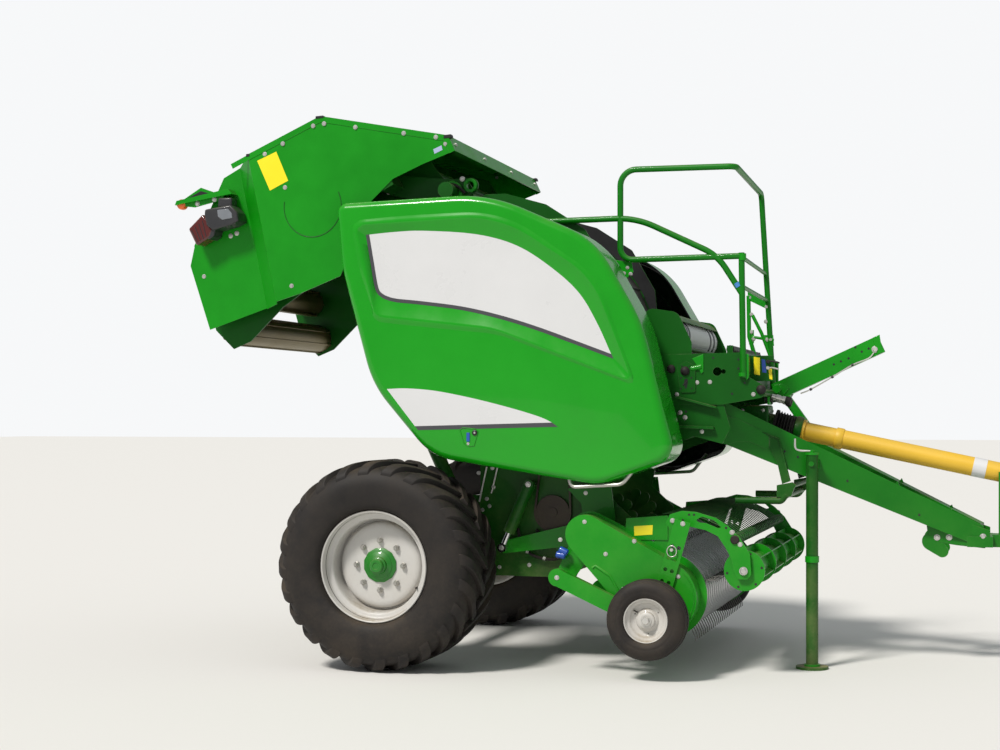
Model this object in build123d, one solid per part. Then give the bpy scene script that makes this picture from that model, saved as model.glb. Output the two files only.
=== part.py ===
"""Round baler with a fixed roller chamber, its tailgate raised.

Millimetres. X points to the drawbar, Y to the machine's left, Z up, the ground is Z = 0.
Sections below are written from the wheel axle (X = 0 there); save() shifts them all by
AXLE_X and lifts them by LIFT, which puts the middle of the overall length on X = 0.
Each section builds one group of pieces and saves its nodes.
"""
from build123d import *
import math
import os

os.makedirs("parts", exist_ok=True)

# ---------------------------------------------------------------- driving dimensions
AXLE_X = -1024.0            # where the wheel axle lies from the middle of the length
AXLE_Z = 550                # the wheel axle's height where the sections are drawn
TYRE_R = 585                # and above the ground; save() lifts all by the difference
WALL_Y, WALL_T = 640, 10    # inner face and thickness of the chamber's walls
GATE_WALL_Y = 660           # inner face of the tailgate's walls
PANEL_Y = 940               # outer face of the tailgate's side panels
PANEL_STEP_Y = 790          # the same, where the panel steps in to pass the tyre
DOOR_Y = 1150               # outer face of the side doors
CHAMBER = (350, 1777)       # middle of the bale chamber, x and z
ROLLER_PITCH_R, ROLLER_R = 720, 95
PIVOT = (270, 2663)         # the tailgate's pivot
GATE_OPEN = 62              # degrees
PICKUP_PIVOT = (1124, 730)  # the feed rotor's axis, about which the pick-up lifts
REEL = (1540, 400)          # the pick-up reel's axis
BAND_R, TINE_R = 225, 300
GAUGE = (1503, 296)         # gauge wheel's axis
CROP_ROLLER = (1983, 549)
HINGE_Y, HINGE_Z = 1020, 2500   # hinge line of the side doors
HITCH = (3400, 660)
JACK_X, JACK_Y, JACK_Z = 2290, -470, 1110
RAM_Y = 735                     # the rams' distance from the machine's middle
GATE_RAM_FOOT, GATE_RAM_EYE_SHUT = (300, 880), (40, 1950)
PICKUP_RAM_HEAD, LEVER_END = (730, 988), (570, 625)
LIFT = TYRE_R - AXLE_Z
deck_y = WALL_Y + WALL_T        # outer face of the chamber's walls


# ---------------------------------------------------------------- helpers
def outline(corners, radii=0):
    """Face in the XZ plane inside (x, z) corners, each rounded by its radius."""
    points = [(x, 0, z) for x, z in corners]
    if radii == 0:
        return make_face(Polyline(*points, close=True))
    return make_face(FilletPolyline(*points, radius=radii, close=True))


def slab(face, y_low, y_high):
    """An XZ face given its thickness along Y."""
    return extrude(face.moved(Location((0, y_low, 0))), amount=y_high - y_low, dir=(0, 1, 0))


def plate(corners, y_low, y_high, radii=0):
    return slab(outline(corners, radii), y_low, y_high)


def block(x, y, z):
    """Box from its (low, high) pairs."""
    size = (x[1] - x[0], y[1] - y[0], z[1] - z[0])
    middle = ((x[0] + x[1]) / 2, (y[0] + y[1]) / 2, (z[0] + z[1]) / 2)
    return Box(*size).moved(Location(middle))


def rod(start, end, radius):
    """Round bar between two points."""
    axis = Vector(*end) - Vector(*start)
    return Solid.make_cylinder(radius, axis.length, Plane(origin=start, z_dir=axis))


def disc(x, z, radius, y_low, y_high):
    return rod((x, y_low, z), (x, y_high, z), radius)


def link(a, b, ra, rb, y_low, y_high):
    """Plate shaped like two circles joined by straight edges."""
    ax, az = a
    bx, bz = b
    gap = math.hypot(bx - ax, bz - az)
    heading = math.atan2(bz - az, bx - ax)
    lean = math.acos((ra - rb) / gap)
    sides = []
    for sign in (1, -1):
        angle = heading + sign * lean
        sides.append(((ax + ra * math.cos(angle), az + ra * math.sin(angle)),
                      (bx + rb * math.cos(angle), bz + rb * math.sin(angle))))
    middle = plate([sides[0][0], sides[0][1], sides[1][1], sides[1][0]], y_low, y_high)
    return middle + disc(ax, az, ra, y_low, y_high) + disc(bx, bz, rb, y_low, y_high)


def beam(start, end, width, height, wall=0):
    """Rectangular tube or bar; width lies level, height in the upright plane of its run."""
    axis = Vector(*end) - Vector(*start)
    level = Vector(0, 0, 1).cross(axis).normalized()
    plane = Plane(origin=start, x_dir=level, z_dir=axis)
    section = plane * Rectangle(width, height)
    if wall:
        section = section - plane * Rectangle(width - 2 * wall, height - 2 * wall)
    return extrude(section, amount=axis.length, dir=axis.normalized())


def bent_sheet(points, y_low, y_high, thickness):
    """Sheet folded along (x, z) points; it lies to the left of the direction they run."""
    offset_points = []
    for i, (x, z) in enumerate(points):
        normals = []
        for a, b in ((i - 1, i), (i, i + 1)):
            if a >= 0 and b < len(points):
                run = math.dist(points[a], points[b])
                normals.append(((points[a][1] - points[b][1]) / run,
                                (points[b][0] - points[a][0]) / run))
        nx = sum(n[0] for n in normals) / len(normals)
        nz = sum(n[1] for n in normals) / len(normals)
        grow = thickness / (nx * nx + nz * nz)
        offset_points.append((x + nx * grow, z + nz * grow))
    return plate(points + offset_points[::-1], y_low, y_high)


def tube_path(points, radius, bends):
    """Round bar bent along a line of points."""
    path = FilletPolyline(*points, radius=bends)
    start = Plane(origin=path @ 0, z_dir=path % 0)
    return sweep(start * Circle(radius), path=path)


def turned(shape, angle, centre=PIVOT):
    """Shape turned about a level cross axis; a positive angle raises its rear."""
    return shape.rotate(Axis((centre[0], 0, centre[1]), (0, 1, 0)), angle)


def other_side(shape):
    return mirror(shape, about=Plane.XZ)


def both(shape):
    return shape + other_side(shape)


def save(name, shape):
    export_step(shape.moved(Location((AXLE_X, 0, LIFT))), f"parts/{name}.step")


def polar(centre, radius, degrees):
    angle = math.radians(degrees)
    return (centre[0] + radius * math.cos(angle), centre[1] + radius * math.sin(angle))


def gate_point(x, z):
    """Where a point of the shut tailgate lies once it is raised."""
    angle = math.radians(GATE_OPEN)
    dx, dz = x - PIVOT[0], z - PIVOT[1]
    return (PIVOT[0] + dx * math.cos(angle) + dz * math.sin(angle),
            PIVOT[1] - dx * math.sin(angle) + dz * math.cos(angle))


# ---------------------------------------------------------------- main wheels
# Rim section as (radius, distance from the machine's middle): flanges, seats and a deep dish.
RIM_OUTER = [(307, 1330), (307, 1316), (290, 1304), (290, 1262), (262, 1246), (246, 1204),
             (150, 1214), (96, 1214), (96, 1200), (150, 1200), (232, 1186), (238, 900),
             (276, 868), (288, 856), (307, 852), (307, 838), (296, 838), (282, 850),
             (262, 880), (252, 908), (252, 1176), (268, 1232), (292, 1250), (296, 1322)]
TYRE_SECTION = [(290, 1296), (309, 1310), (330, 1352), (440, 1372), (515, 1358), (548, 1330),
                (561, 1262), (561, 918), (548, 850), (515, 822), (440, 808), (330, 828),
                (309, 858), (292, 868)]
STUD_CIRCLE_R, STUD_COUNT = 137.5, 8
# Tread bar seen from outside at the tyre's top, as (x, y): from the shoulder to past the middle.
BAR = [(-97, 1354), (-50, 1354), (3, 1230), (96, 1078), (58, 1066), (-50, 1225)]
BAR_PAIRS = 24


def turned_wheel(section):
    """Section revolved about the wheel's own axle, left-hand side."""
    face = make_face(Polyline(*[(radius, y, 0) for radius, y in section[::-1]], close=True))
    return revolve(face, axis=Axis.Y).moved(Location((0, 0, AXLE_Z)))


def tread_bars():
    """Bars of both halves of the tread, the inner half a half pitch behind."""
    bars = []
    for mirror_y, start in ((1, 0), (-1, 0.5)):
        corners = [(x, y if mirror_y == 1 else 2180 - y, 0) for x, y in BAR]
        bar = extrude(make_face(Polyline(*corners, close=True)), amount=72, dir=(0, 0, 1))
        bar = bar.moved(Location((0, 0, AXLE_Z + TYRE_R - 80)))
        for k in range(BAR_PAIRS):
            bars.append(bar.rotate(Axis((0, 0, AXLE_Z), (0, 1, 0)), 360 / BAR_PAIRS * (k + start)))
    return bars


rim_left = turned_wheel(RIM_OUTER)
for k in range(STUD_COUNT):
    stud_x, stud_z = polar((0, AXLE_Z), STUD_CIRCLE_R, 22.5 + 360 / STUD_COUNT * k)
    rim_left = rim_left + disc(stud_x, stud_z, 15, 1206, 1236)
hub_left = (disc(0, AXLE_Z, 150, 1182, 1200) + disc(0, AXLE_Z, 94, 1150, 1234)
            + disc(0, AXLE_Z, 78, 1234, 1262) + disc(0, AXLE_Z, 58, 1262, 1290))
hub_left = hub_left - disc(0, AXLE_Z, 38.5, 1140, 1256)
tyre_left = (turned_wheel(TYRE_SECTION) + tread_bars()) - turned_wheel(RIM_OUTER)
for name, piece in (("rim", rim_left), ("hub", hub_left), ("tyre", tyre_left)):
    save(f"{name}_left", piece)
    save(f"{name}_right", other_side(piece))

# ---------------------------------------------------------------- chamber walls and chassis
WALL = [(300, 2585), (440, 2660), (560, 2660), (800, 2590), (1030, 2440), (1180, 2180), (1222, 1777),
        (1222, 1500), (1500, 1480), (1815, 1465), (1860, 1310), (1815, 1222), (1660, 1262),
        (1420, 1180), (1190, 1080), (1160, 930), (1300, 800), (1300, 640), (1160, 560),
        (880, 455), (520, 455), (-110, 470), (-110, 640), (190, 700), (345, 800), (408, 930),
        (408, 1120), (330, 1400), (290, 1777), (290, 2400)]
wall = plate(WALL, WALL_Y, WALL_Y + WALL_T)
wall = wall - block((-60, 60), (WALL_Y - 1, WALL_Y + WALL_T + 1), (490, 610))
wall = wall - block((-100, 100), (WALL_Y - 60, WALL_Y + 65), (610, 625))
wall = wall + disc(*PIVOT, 95, WALL_Y, WALL_Y + WALL_T)
wall = wall + plate([(300, 2480), (190, 2640), (360, 2700)], WALL_Y, WALL_Y + WALL_T)
wall = wall - disc(*PICKUP_PIVOT, 70, WALL_Y - 1, deck_y + 1)
side_frames = both(wall)
side_frames = side_frames + disc(*PIVOT, 45, -885, 885)
CROSS_TUBES = [("top", 500, 2635, 22), ("lower rear", 480, 560, 45), ("front foot", 1770, 1330, 50)]
for _, tube_x, tube_z, tube_r in CROSS_TUBES:
    side_frames = side_frames + disc(tube_x, tube_z, tube_r, -645, 645)
side_frames = side_frames + both(beam((1568, 668, 1318), (1770, 668, 1310), 36, 14))
hinge_shelf = block((470, 600), (WALL_Y + WALL_T, 1040), (2452, 2460))
hinge_shelf = hinge_shelf + block((470, 600), (WALL_Y + WALL_T, 700), (2380, 2460))
hinge_ears = [block((x - 6, x + 6), (1000, 1040), (2455, 2512)) for x in (480, 590)]
hinge_shelf = hinge_shelf + hinge_ears[0] + hinge_ears[1]
hinge_shelf = hinge_shelf - rod((460, HINGE_Y, HINGE_Z), (610, HINGE_Y, HINGE_Z), 7.5)
side_frames = side_frames + both(hinge_shelf)
side_frames = side_frames + both(link(GATE_RAM_FOOT, (420, 860), 38, 58, WALL_Y, deck_y))
save("side_frames", side_frames)
gate_pin = disc(*GATE_RAM_FOOT, 16, deck_y, RAM_Y + 27)
pickup_pin = other_side(disc(*PICKUP_RAM_HEAD, 16, deck_y, RAM_Y + 47))
save("ram_pins", Compound([gate_pin, other_side(gate_pin), pickup_pin]))

# Hangers that carry the pick-up: a boss through the wall, its stub axle and an outer plate.
HANGER = [(985, 985), (1190, 985), (1215, 800), (1190, 690), (1124, 640), (1040, 640), (880, 610),
          (860, 645), (985, 700), (1030, 790), (1018, 880), (940, 960)]
hanger = plate(HANGER, 684, 692) + block((990, 1180), (deck_y, 684), (965, 985))
hanger = hanger + disc(*PICKUP_PIVOT, 70, WALL_Y, 692) + disc(*PICKUP_PIVOT, 34, 692, 905)
hanger = hanger - disc(*PICKUP_PIVOT, 31, WALL_Y - 1, 690)
save("pickup_hangers", Compound([hanger, other_side(hanger)]))

# Drive chain of the pick-up on the right wall, its upper sprocket behind the side door.
CHAIN_RUN = [(845, 826, 98), (870, 1330, 62)]      # x, z and radius of each sprocket
chain_low, chain_high = [(x, z) for x, z, _ in CHAIN_RUN]
chain = (link(chain_low, chain_high, 110, 74, 662, 674)
         - link(chain_low, chain_high, 98, 62, 661, 675))
for x, z, r in CHAIN_RUN:
    chain = chain + disc(x, z, r, 664, 672) + disc(x, z, 28, deck_y, 678)
save("drive_chain", other_side(chain))

axle_box = block((-60, 60), (-800, 800), (490, 610)) - block((-48, 48), (-790, 790), (502, 598))
axle = axle_box + both(disc(0, AXLE_Z, 60, 795, 900) + disc(0, AXLE_Z, 38, 900, 1250))
axle_seats = [block((-100, 100), (s * 645 - 60, s * 645 + 60), (610, 625)) for s in (1, -1)]
for seat in axle_seats:
    axle = axle + seat
save("axle_beam", axle)

# ---------------------------------------------------------------- chamber rollers
ROLLER_STEP = 20
FRONT_ANGLES = [-75, -35, -15, 5, 25, 45, 65, 85]
GATE_ANGLES = [105 + ROLLER_STEP * k for k in range(9)]


def chamber_roller(degrees, half_length):
    x, z = polar(CHAMBER, ROLLER_PITCH_R, degrees)
    drum = disc(x, z, ROLLER_R - 8, -half_length, half_length)
    ribs = [block((x + 60, x + ROLLER_R), (-half_length, half_length), (z - 7, z + 7))
            .rotate(Axis((x, 0, z), (0, 1, 0)), 60 * k + degrees) for k in range(6)]
    for rib in ribs:
        drum = drum + rib
    return drum


def roller_set(angles, wall_y):
    rollers = [chamber_roller(a, wall_y) for a in angles]
    return Compound(rollers)


save("front_rollers", roller_set(FRONT_ANGLES, WALL_Y))

# ---------------------------------------------------------------- tailgate
GATE_EDGE = [(118, 2825), (23, 2830), (-470, 2215), (-505, 1720), (-512, 1600), (-512, 1470),
             (-250, 1110), (-160, 1032), (240, 965), (305, 1345), (340, 1470), (372, 1628),
             (404, 1893), (118, 2260), (72, 2434), (88, 2623)]
STEP_SLOPE = 0.2875                          # both creases of the step fall towards the front
STEP_OUTER, STEP_INNER = (355, 1471), (310, 1348)   # front ends of the two creases
SHEET = 4


def crease(front_end, x):
    """Point of a crease at the given x."""
    return (x, front_end[1] + (front_end[0] - x) * STEP_SLOPE)


gate_face = outline(GATE_EDGE)
far = 4000
above_step = outline([crease(STEP_OUTER, -far), crease(STEP_OUTER, far), (far, far), (-far, far)])
below_step = outline([crease(STEP_INNER, -far), crease(STEP_INNER, far), (far, -far), (-far, -far)])
upper_panel = slab(gate_face & above_step, PANEL_Y - SHEET, PANEL_Y)
lower_panel = slab(gate_face & below_step, PANEL_STEP_Y - SHEET, PANEL_STEP_Y)
band_corners = [(x, y, z) for (x, z), y in (
    (crease(STEP_OUTER, -507), PANEL_Y - SHEET), (STEP_OUTER, PANEL_Y - SHEET),
    (STEP_INNER, PANEL_STEP_Y - SHEET), (crease(STEP_INNER, -512), PANEL_STEP_Y - SHEET))]
step_band = extrude(make_face(Polyline(*band_corners, close=True)), amount=SHEET, dir=(0, 1, 0))
strips = bent_sheet(GATE_EDGE[:5], PANEL_Y, PANEL_Y + 3, 30)
side_left = upper_panel + lower_panel + step_band + strips
save("tailgate_side_left", turned(side_left, GATE_OPEN))
save("tailgate_side_right", turned(other_side(side_left), GATE_OPEN))

GATE_WALL = [(180, 2640), (-60, 2600), (-330, 2340), (-455, 2060), (-480, 1777), (-470, 1470),
             (-290, 1205), (-140, 1030), (230, 950), (385, 1000), (398, 1120), (318, 1400),
             (278, 1777), (278, 2500), (360, 2640)]
gate_wall = plate(GATE_WALL, GATE_WALL_Y, GATE_WALL_Y + WALL_T) + disc(*PIVOT, 80, GATE_WALL_Y,
                                                                      GATE_WALL_Y + WALL_T)
gate_arm = link(PIVOT, (290, 2778), 75, 45, 740, 755) + link(PIVOT, (60, 2380), 75, 60, 740, 755)
gate_wall = gate_wall + gate_arm + disc(*PIVOT, 60, GATE_WALL_Y, 740)
gate_wall = gate_wall + disc(*GATE_RAM_EYE_SHUT, 38, GATE_WALL_Y, RAM_Y - 23)
gate_wall = gate_wall + block((20, 100), (GATE_WALL_Y, PANEL_Y - SHEET), (2340, 2420))
gate_wall = gate_wall + block((-440, -380), (GATE_WALL_Y, PANEL_Y - SHEET), (1760, 1820))
gate_wall = gate_wall + block((-200, -140), (GATE_WALL_Y, PANEL_STEP_Y - SHEET), (1180, 1240))
gate_wall = gate_wall - disc(*PIVOT, 45.5, 600, 1000) - disc(290, 2778, 22, 700, 800)
gate_frame = both(gate_wall)
GATE_TUBES = [(-380, 2205, 30), (-300, 1262, 25), (60, 2560, 30)]     # x, z, radius
for tube_x, tube_z, tube_r in GATE_TUBES:
    gate_frame = gate_frame + disc(tube_x, tube_z, tube_r, -GATE_WALL_Y, GATE_WALL_Y)
save("tailgate_frame", turned(gate_frame, GATE_OPEN))

HOOD_LINE = [(118, 2825), (23, 2830), (-470, 2215), (-505, 1720), (-512, 1596), (-512, 1470),
             (-250, 1110)]


HOOD_SHEET = 4
hood = bent_sheet(HOOD_LINE[3::-1], -PANEL_Y, PANEL_Y, HOOD_SHEET)
rear_sheet = bent_sheet(HOOD_LINE[:3:-1], -PANEL_STEP_Y, PANEL_STEP_Y, HOOD_SHEET)
save("tailgate_cover", turned(hood + rear_sheet, GATE_OPEN))
save("tailgate_rollers", turned(roller_set(GATE_ANGLES, GATE_WALL_Y), GATE_OPEN))

# ---------------------------------------------------------------- tail lamps
lamp = block((-1290, -1040), (PANEL_STEP_Y, 905), (2440, 2560))
lamp = fillet(lamp.edges().filter_by(Axis.Y), 25)
lamp = turned(lamp, -33, (-1165, 2500))
lamp_arm = plate([(-1430, 2635), (-1420, 2660), (-1085, 2720), (-1060, 2690)], PANEL_STEP_Y, 880)
save("tail_lamps", both(lamp))
save("lamp_arms", both(lamp_arm))

# ---------------------------------------------------------------- side doors
# Outline as (x, z, corner radius), clockwise from the top rear corner.
DOOR = [(-296, 2576, 55), (600, 2600, 900), (1196, 2332, 500), (1454, 1884, 900),
        (1640, 1152, 110), (1221, 1003, 300), (266, 1149, 350), (-84, 1552, 600),
        (-262, 2200, 800)]
RECESS = [(-176, 2448, 45), (661, 2476, 700), (1188, 2128, 500), (1411, 1561, 18),
          (643, 1855, 700), (-52, 1936, 60)]
DOOR_SKIN = 9
DOOR_FRONT_Y = 800          # how far the door wraps inwards at its front
DOOR_REAR_Y = 1060          # and at its rear, where the tailgate passes
DOOR_DEEP_X = 780
RECESS_DEPTH = 16


def door_outline(table):
    return outline([(x, z) for x, z, _ in table], [r for _, _, r in table])


def door_body(inset, depth_in):
    """Pillow-edged block of the door's outline, made smaller by inset all round."""
    face = door_outline(DOOR)
    if inset:
        face = offset(face, amount=-inset)
    body = slab(face, DOOR_FRONT_Y - depth_in, DOOR_Y - inset)
    rim = body.faces().sort_by(Axis.Y)[-1].edges()
    return fillet(rim, 45)


door = door_body(0, 0)
recess = slab(door_outline(RECESS), DOOR_Y - RECESS_DEPTH, DOOR_Y + 10)
recess_back = slab(offset(door_outline(RECESS), amount=DOOR_SKIN),
                   DOOR_Y - RECESS_DEPTH - DOOR_SKIN, DOOR_Y)
door = door - recess - (door_body(DOOR_SKIN, 10) - recess_back)
door = door - block((-400, DOOR_DEEP_X), (700, DOOR_REAR_Y), (900, 2700))
door = door + rod((475, HINGE_Y, HINGE_Z), (595, HINGE_Y, HINGE_Z), 7)
for x in (500, 570):
    door = door + rod((x - 8, HINGE_Y, HINGE_Z), (x + 8, HINGE_Y, HINGE_Z), 14)
    door = door + block((x - 8, x + 8), (HINGE_Y, 1148), (HINGE_Z - 10, HINGE_Z + 10))
handle = tube_path([(1036, 1100, 1090), (1062, 1108, 990), (1345, 1108, 1008),
                    (1436, 1100, 1125)], 11, [34, 60])
door = door - handle
save("door_left", door)
save("door_right", other_side(door))
save("door_handle_left", handle)
save("door_handle_right", other_side(handle))

# ---------------------------------------------------------------- front platform and net box
PLATFORM = [(1224, 1715), (1945, 1730), (1945, 1603), (2071, 1530), (2036, 1478), (1817, 1440),
            (1224, 1440)]
PLATE_T = 8
platform = plate(PLATFORM, deck_y, deck_y + PLATE_T, [0, 0, 10, 30, 30, 60, 0])
platform = platform - disc(1787, 1624, 24, 600, 700) - disc(1822, 1624, 13, 600, 700)
LATCH_PLATE = [(1562, 1655), (1614, 1684), (1664, 1655), (1667, 1509), (1582, 1507)]
platform = platform + plate(LATCH_PLATE, deck_y + PLATE_T, deck_y + PLATE_T + 8, 14)
platform = both(platform + beam((1560, 676, 1483), (1785, 676, 1424), 36, 10))
platform = platform + plate([(1224, 1708), (1945, 1722), (1945, 1730), (1224, 1716)],
                            -deck_y, deck_y)
platform = platform + block((1937, 1945), (-deck_y, deck_y), (1500, 1723))
platform = platform + disc(2030, 1505, 22, -deck_y, deck_y)
platform = platform + both(block((1828, 1862), (560, 572), (1724, 1772)))
NET_ROLL = (1478, 1836)
net_cheek = plate([(1300, 1718), (1640, 1724.2), (1640, 1790), (1560, 1960), (1400, 1985),
                   (1300, 1880)], 632, 638, [0, 0, 40, 60, 60, 30])
net_box = both(net_cheek)
for x, z, r in ((1335, 1750, 12), (1622, 1750, 12)):
    net_box = net_box + disc(x, z, r, -632, 632)
save("platform", platform)
save("net_box", net_box)
save("net_roll", disc(*NET_ROLL, 105, -625, 625) - disc(*NET_ROLL, 38, -640, 640))
net_lid = bent_sheet([polar(NET_ROLL, 128, a) for a in range(35, 150, 15)], -628, 628, 4)
save("net_cover", net_lid)
front_roller = disc(1845, 1752, 22, -560, 560)
save("net_feed_roller", front_roller)

# ---------------------------------------------------------------- front cover of the chamber
cover_line = [polar(CHAMBER, 840, a) for a in range(18, 92, 12)]
save("front_cover", bent_sheet(cover_line, -WALL_Y, WALL_Y, 4))

# ---------------------------------------------------------------- guard rails
RAIL_R = 17
rail_y = -(deck_y + PLATE_T + RAIL_R)
near_loop = tube_path([(1925, rail_y, 2262), (1241, rail_y, 2256), (1241, rail_y, 2765),
                       (1893, rail_y, 2760), (1903, 310, 2728), (1975, 310, 1540)],
                      RAIL_R, [70, 90, 45, 45])
rails = near_loop + rod((1925, rail_y, 2280), (1935, rail_y, 1590), RAIL_R)
for height in (2256, 2095):
    rails = rails + rod((1926, rail_y, height), (1928 + (2256 - height) * 0.05, 310, height - 15), 12)
hand_rail = tube_path([(700, rail_y, 2487), (1330, rail_y, 2492), (1790, rail_y, 2270),
                       (1930, rail_y, 2050)], RAIL_R, [500, 300])
rails = rails + hand_rail
save("guard_rails", rails)

# ---------------------------------------------------------------- drawbar
PTO_SLOPE = -0.2096
PTO_START = (2050, 1318)


def on_shaft(x):
    return (x, 0, PTO_START[1] + (x - PTO_START[0]) * PTO_SLOPE)


BEAM_PROFILE = [(1790, 1456), (3200, 760), (3200, 634), (1790, 1218)]
BEAM_REAR_Y, BEAM_FRONT_Y, BEAM_W = 420, 105, 90
plan_angle = math.degrees(math.atan2(BEAM_FRONT_Y - BEAM_REAR_Y, 3200 - 1790))
plan_scale = 1 / math.cos(math.radians(plan_angle))
beam_face = outline([((x - 1790) * plan_scale, z) for x, z in BEAM_PROFILE])
draw_beam = slab(beam_face, -BEAM_W / 2, BEAM_W / 2)
draw_beam = draw_beam.rotate(Axis.Z, plan_angle).moved(Location((1790, BEAM_REAR_Y, 0)))
KNUCKLE = [(1700, 1240), (1800, 1214), (1850, 1230), (1925, 1232), (2020, 1190), (2060, 1230),
           (2000, 1287), (1867, 1357), (1810, 1372), (1760, 1420), (1700, 1400)]
knuckle = slab(outline([((x - 1790) * plan_scale, z) for x, z in KNUCKLE], 12),
               BEAM_W / 2 - 2, BEAM_W / 2 + 8)
draw_beam = draw_beam + knuckle.rotate(Axis.Z, plan_angle).moved(Location((1790, BEAM_REAR_Y, 0)))
draw_beam = draw_beam + link((2925, 668), (2985, 612), 52, 34, 150, 162)
drawbar = both(draw_beam)
drawbar = drawbar + block((3120, 3260), (-170, 170), (640, 700))
drawbar = drawbar + block((3255, 3330), (-75, 75), (635, 705))
drawbar = drawbar + block((2560, 2610), (-260, 260), (940, 1010))
drawbar = drawbar - disc(1770, 1330, 50.2, -700, 700)
shaft_rest = block((3290, 3306), (-70, 70), (700, 1060))
drawbar = drawbar + shaft_rest - rod(on_shaft(3200), on_shaft(3400), 55)
drawbar = drawbar + block((JACK_X - 30, JACK_X + 30), (JACK_Y + 36, -345), (JACK_Z - 25, JACK_Z + 25))
drawbar = drawbar + rod((JACK_X, JACK_Y + 40, JACK_Z), (JACK_X, JACK_Y - 44, JACK_Z), 14)
save("drawbar", drawbar)
eye = (rod((HITCH[0], 0, HITCH[1] - 20), (HITCH[0], 0, HITCH[1] + 20), 62)
       + block((3330, 3360), (-45, 45), (HITCH[1] - 20, HITCH[1] + 20)))
eye = eye - rod((HITCH[0], 0, HITCH[1] - 40), (HITCH[0], 0, HITCH[1] + 40), 25)
save("hitch_eye", eye)

# ---------------------------------------------------------------- driveline
gearbox = block((1822, 2000), (-115, 115), (1225, 1440))
gearbox = fillet(gearbox.edges(), 14) + rod(on_shaft(1990), on_shaft(2022), 62)
gearbox = gearbox - rod(on_shaft(2005), on_shaft(2040), 24)
save("gearbox", gearbox)
boot = rod(on_shaft(2024), on_shaft(2046), 84)
for k in range(4):
    boot = boot + rod(on_shaft(2046 + 24 * k), on_shaft(2058 + 24 * k), 70)
    boot = boot + rod(on_shaft(2058 + 24 * k), on_shaft(2070 + 24 * k), 80)
boot = boot - rod(on_shaft(2020), on_shaft(2160), 60)
save("pto_boot", boot)
guard = rod(on_shaft(2144), on_shaft(2200), 68) + rod(on_shaft(2196), on_shaft(3390), 55)
guard = guard + rod(on_shaft(3340), on_shaft(3400), 66)
guard = guard - rod(on_shaft(2100), on_shaft(3420), 47)
save("pto_guard", guard)
shaft = rod(on_shaft(2006), on_shaft(3430), 23) + rod(on_shaft(2050), on_shaft(2110), 45)
shaft = shaft + rod(on_shaft(3410), on_shaft(3470), 40)
save("pto_shaft", shaft)

# ---------------------------------------------------------------- hose arm
arm = beam((2046, -150, 1514), (2648, -150, 1788), 60, 100, 5)
arm = arm + beam((2046, 310, 1500), (2215, 310, 1262), 50, 50)
save("hose_arm", arm - platform - drawbar)

# ---------------------------------------------------------------- folded field stand
STAND_Y = 412
stand_plate = [(1990, 1284), (2095, 1240), (2161, 1008), (2117, 992), (2090, 1110), (2010, 1262)]
stand_edge = [(1880, 1338), (1997, 1284), (2097, 1244), (2158, 1008)]
stand_foot = [(2089, 986), (2175, 1003), (2197, 987), (2185, 967), (2169, 925), (2089, 918)]
stand = plate(stand_plate, STAND_Y, STAND_Y + 6) + bent_sheet(stand_edge, STAND_Y - 12,
                                                              STAND_Y + 14, 6)
stand = stand + plate(stand_foot, STAND_Y - 8, STAND_Y + 26)
stand = stand + tube_path([(1855, STAND_Y + 8, 898), (2112, STAND_Y + 8, 898),
                           (2140, STAND_Y + 8, 935)], 20, 26)
stand = both(stand) + disc(2165, 978, 12, -STAND_Y, STAND_Y) + disc(2135, 925, 16, -STAND_Y, STAND_Y)
save("field_stand", stand - drawbar)

# ---------------------------------------------------------------- parking jack
jack = rod((JACK_X, JACK_Y, 15 - LIFT), (JACK_X, JACK_Y, JACK_Z + 50), 34)
jack = jack + rod((JACK_X, JACK_Y, -LIFT), (JACK_X, JACK_Y, 15 - LIFT), 90)
jack = jack - rod((JACK_X, JACK_Y - 60, JACK_Z), (JACK_X, JACK_Y + 60, JACK_Z), 14.6)
save("parking_jack", jack)

# ---------------------------------------------------------------- pick-up
SIDE_PLATE_Y = 915
GUARD_PIVOT = (1600, 812)
BAND_CARRIER = (1378, 702)
TORSION_TUBE = (1190, 415)
cheek = link(PICKUP_PIVOT, REEL, 120, 235, SIDE_PLATE_Y, SIDE_PLATE_Y + 10)
cheek = cheek + link(TORSION_TUBE, REEL, 60, 235, SIDE_PLATE_Y, SIDE_PLATE_Y + 10)
cheek = cheek + disc(*PICKUP_PIVOT, 50, 700, SIDE_PLATE_Y)
cheek = cheek + link(PICKUP_PIVOT, LEVER_END, 70, 35, 700, 712)
cheek = cheek - disc(*PICKUP_PIVOT, 34.6, 600, 1000) - disc(*REEL, 35, 900, 960)
cheek = cheek + link((985, 498), PICKUP_PIVOT, 50, 80, SIDE_PLATE_Y, SIDE_PLATE_Y + 10)
cheek = cheek + link(GUARD_PIVOT, (1450, 520), 28, 70, SIDE_PLATE_Y, SIDE_PLATE_Y + 10)
cheek = cheek + disc(*GUARD_PIVOT, 12, SIDE_PLATE_Y, 1003) - disc(*PICKUP_PIVOT, 34.6, 600, 1000)
cheek = cheek + disc(*LEVER_END, 24, 712, RAM_Y - 3)
pickup_frame = both(cheek) + disc(*TORSION_TUBE, 35, -SIDE_PLATE_Y, SIDE_PLATE_Y)
pickup_frame = pickup_frame + disc(*BAND_CARRIER, 18, -SIDE_PLATE_Y, SIDE_PLATE_Y)
save("pickup_frame", pickup_frame)

case_y = SIDE_PLATE_Y + 10
case = link(PICKUP_PIVOT, REEL, 108, 200, case_y, case_y + 130)
case = case - disc(*PICKUP_PIVOT, 40, 900, 1000) - disc(*REEL, 36, 900, 1000)
save("chain_cases", both(case))

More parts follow.
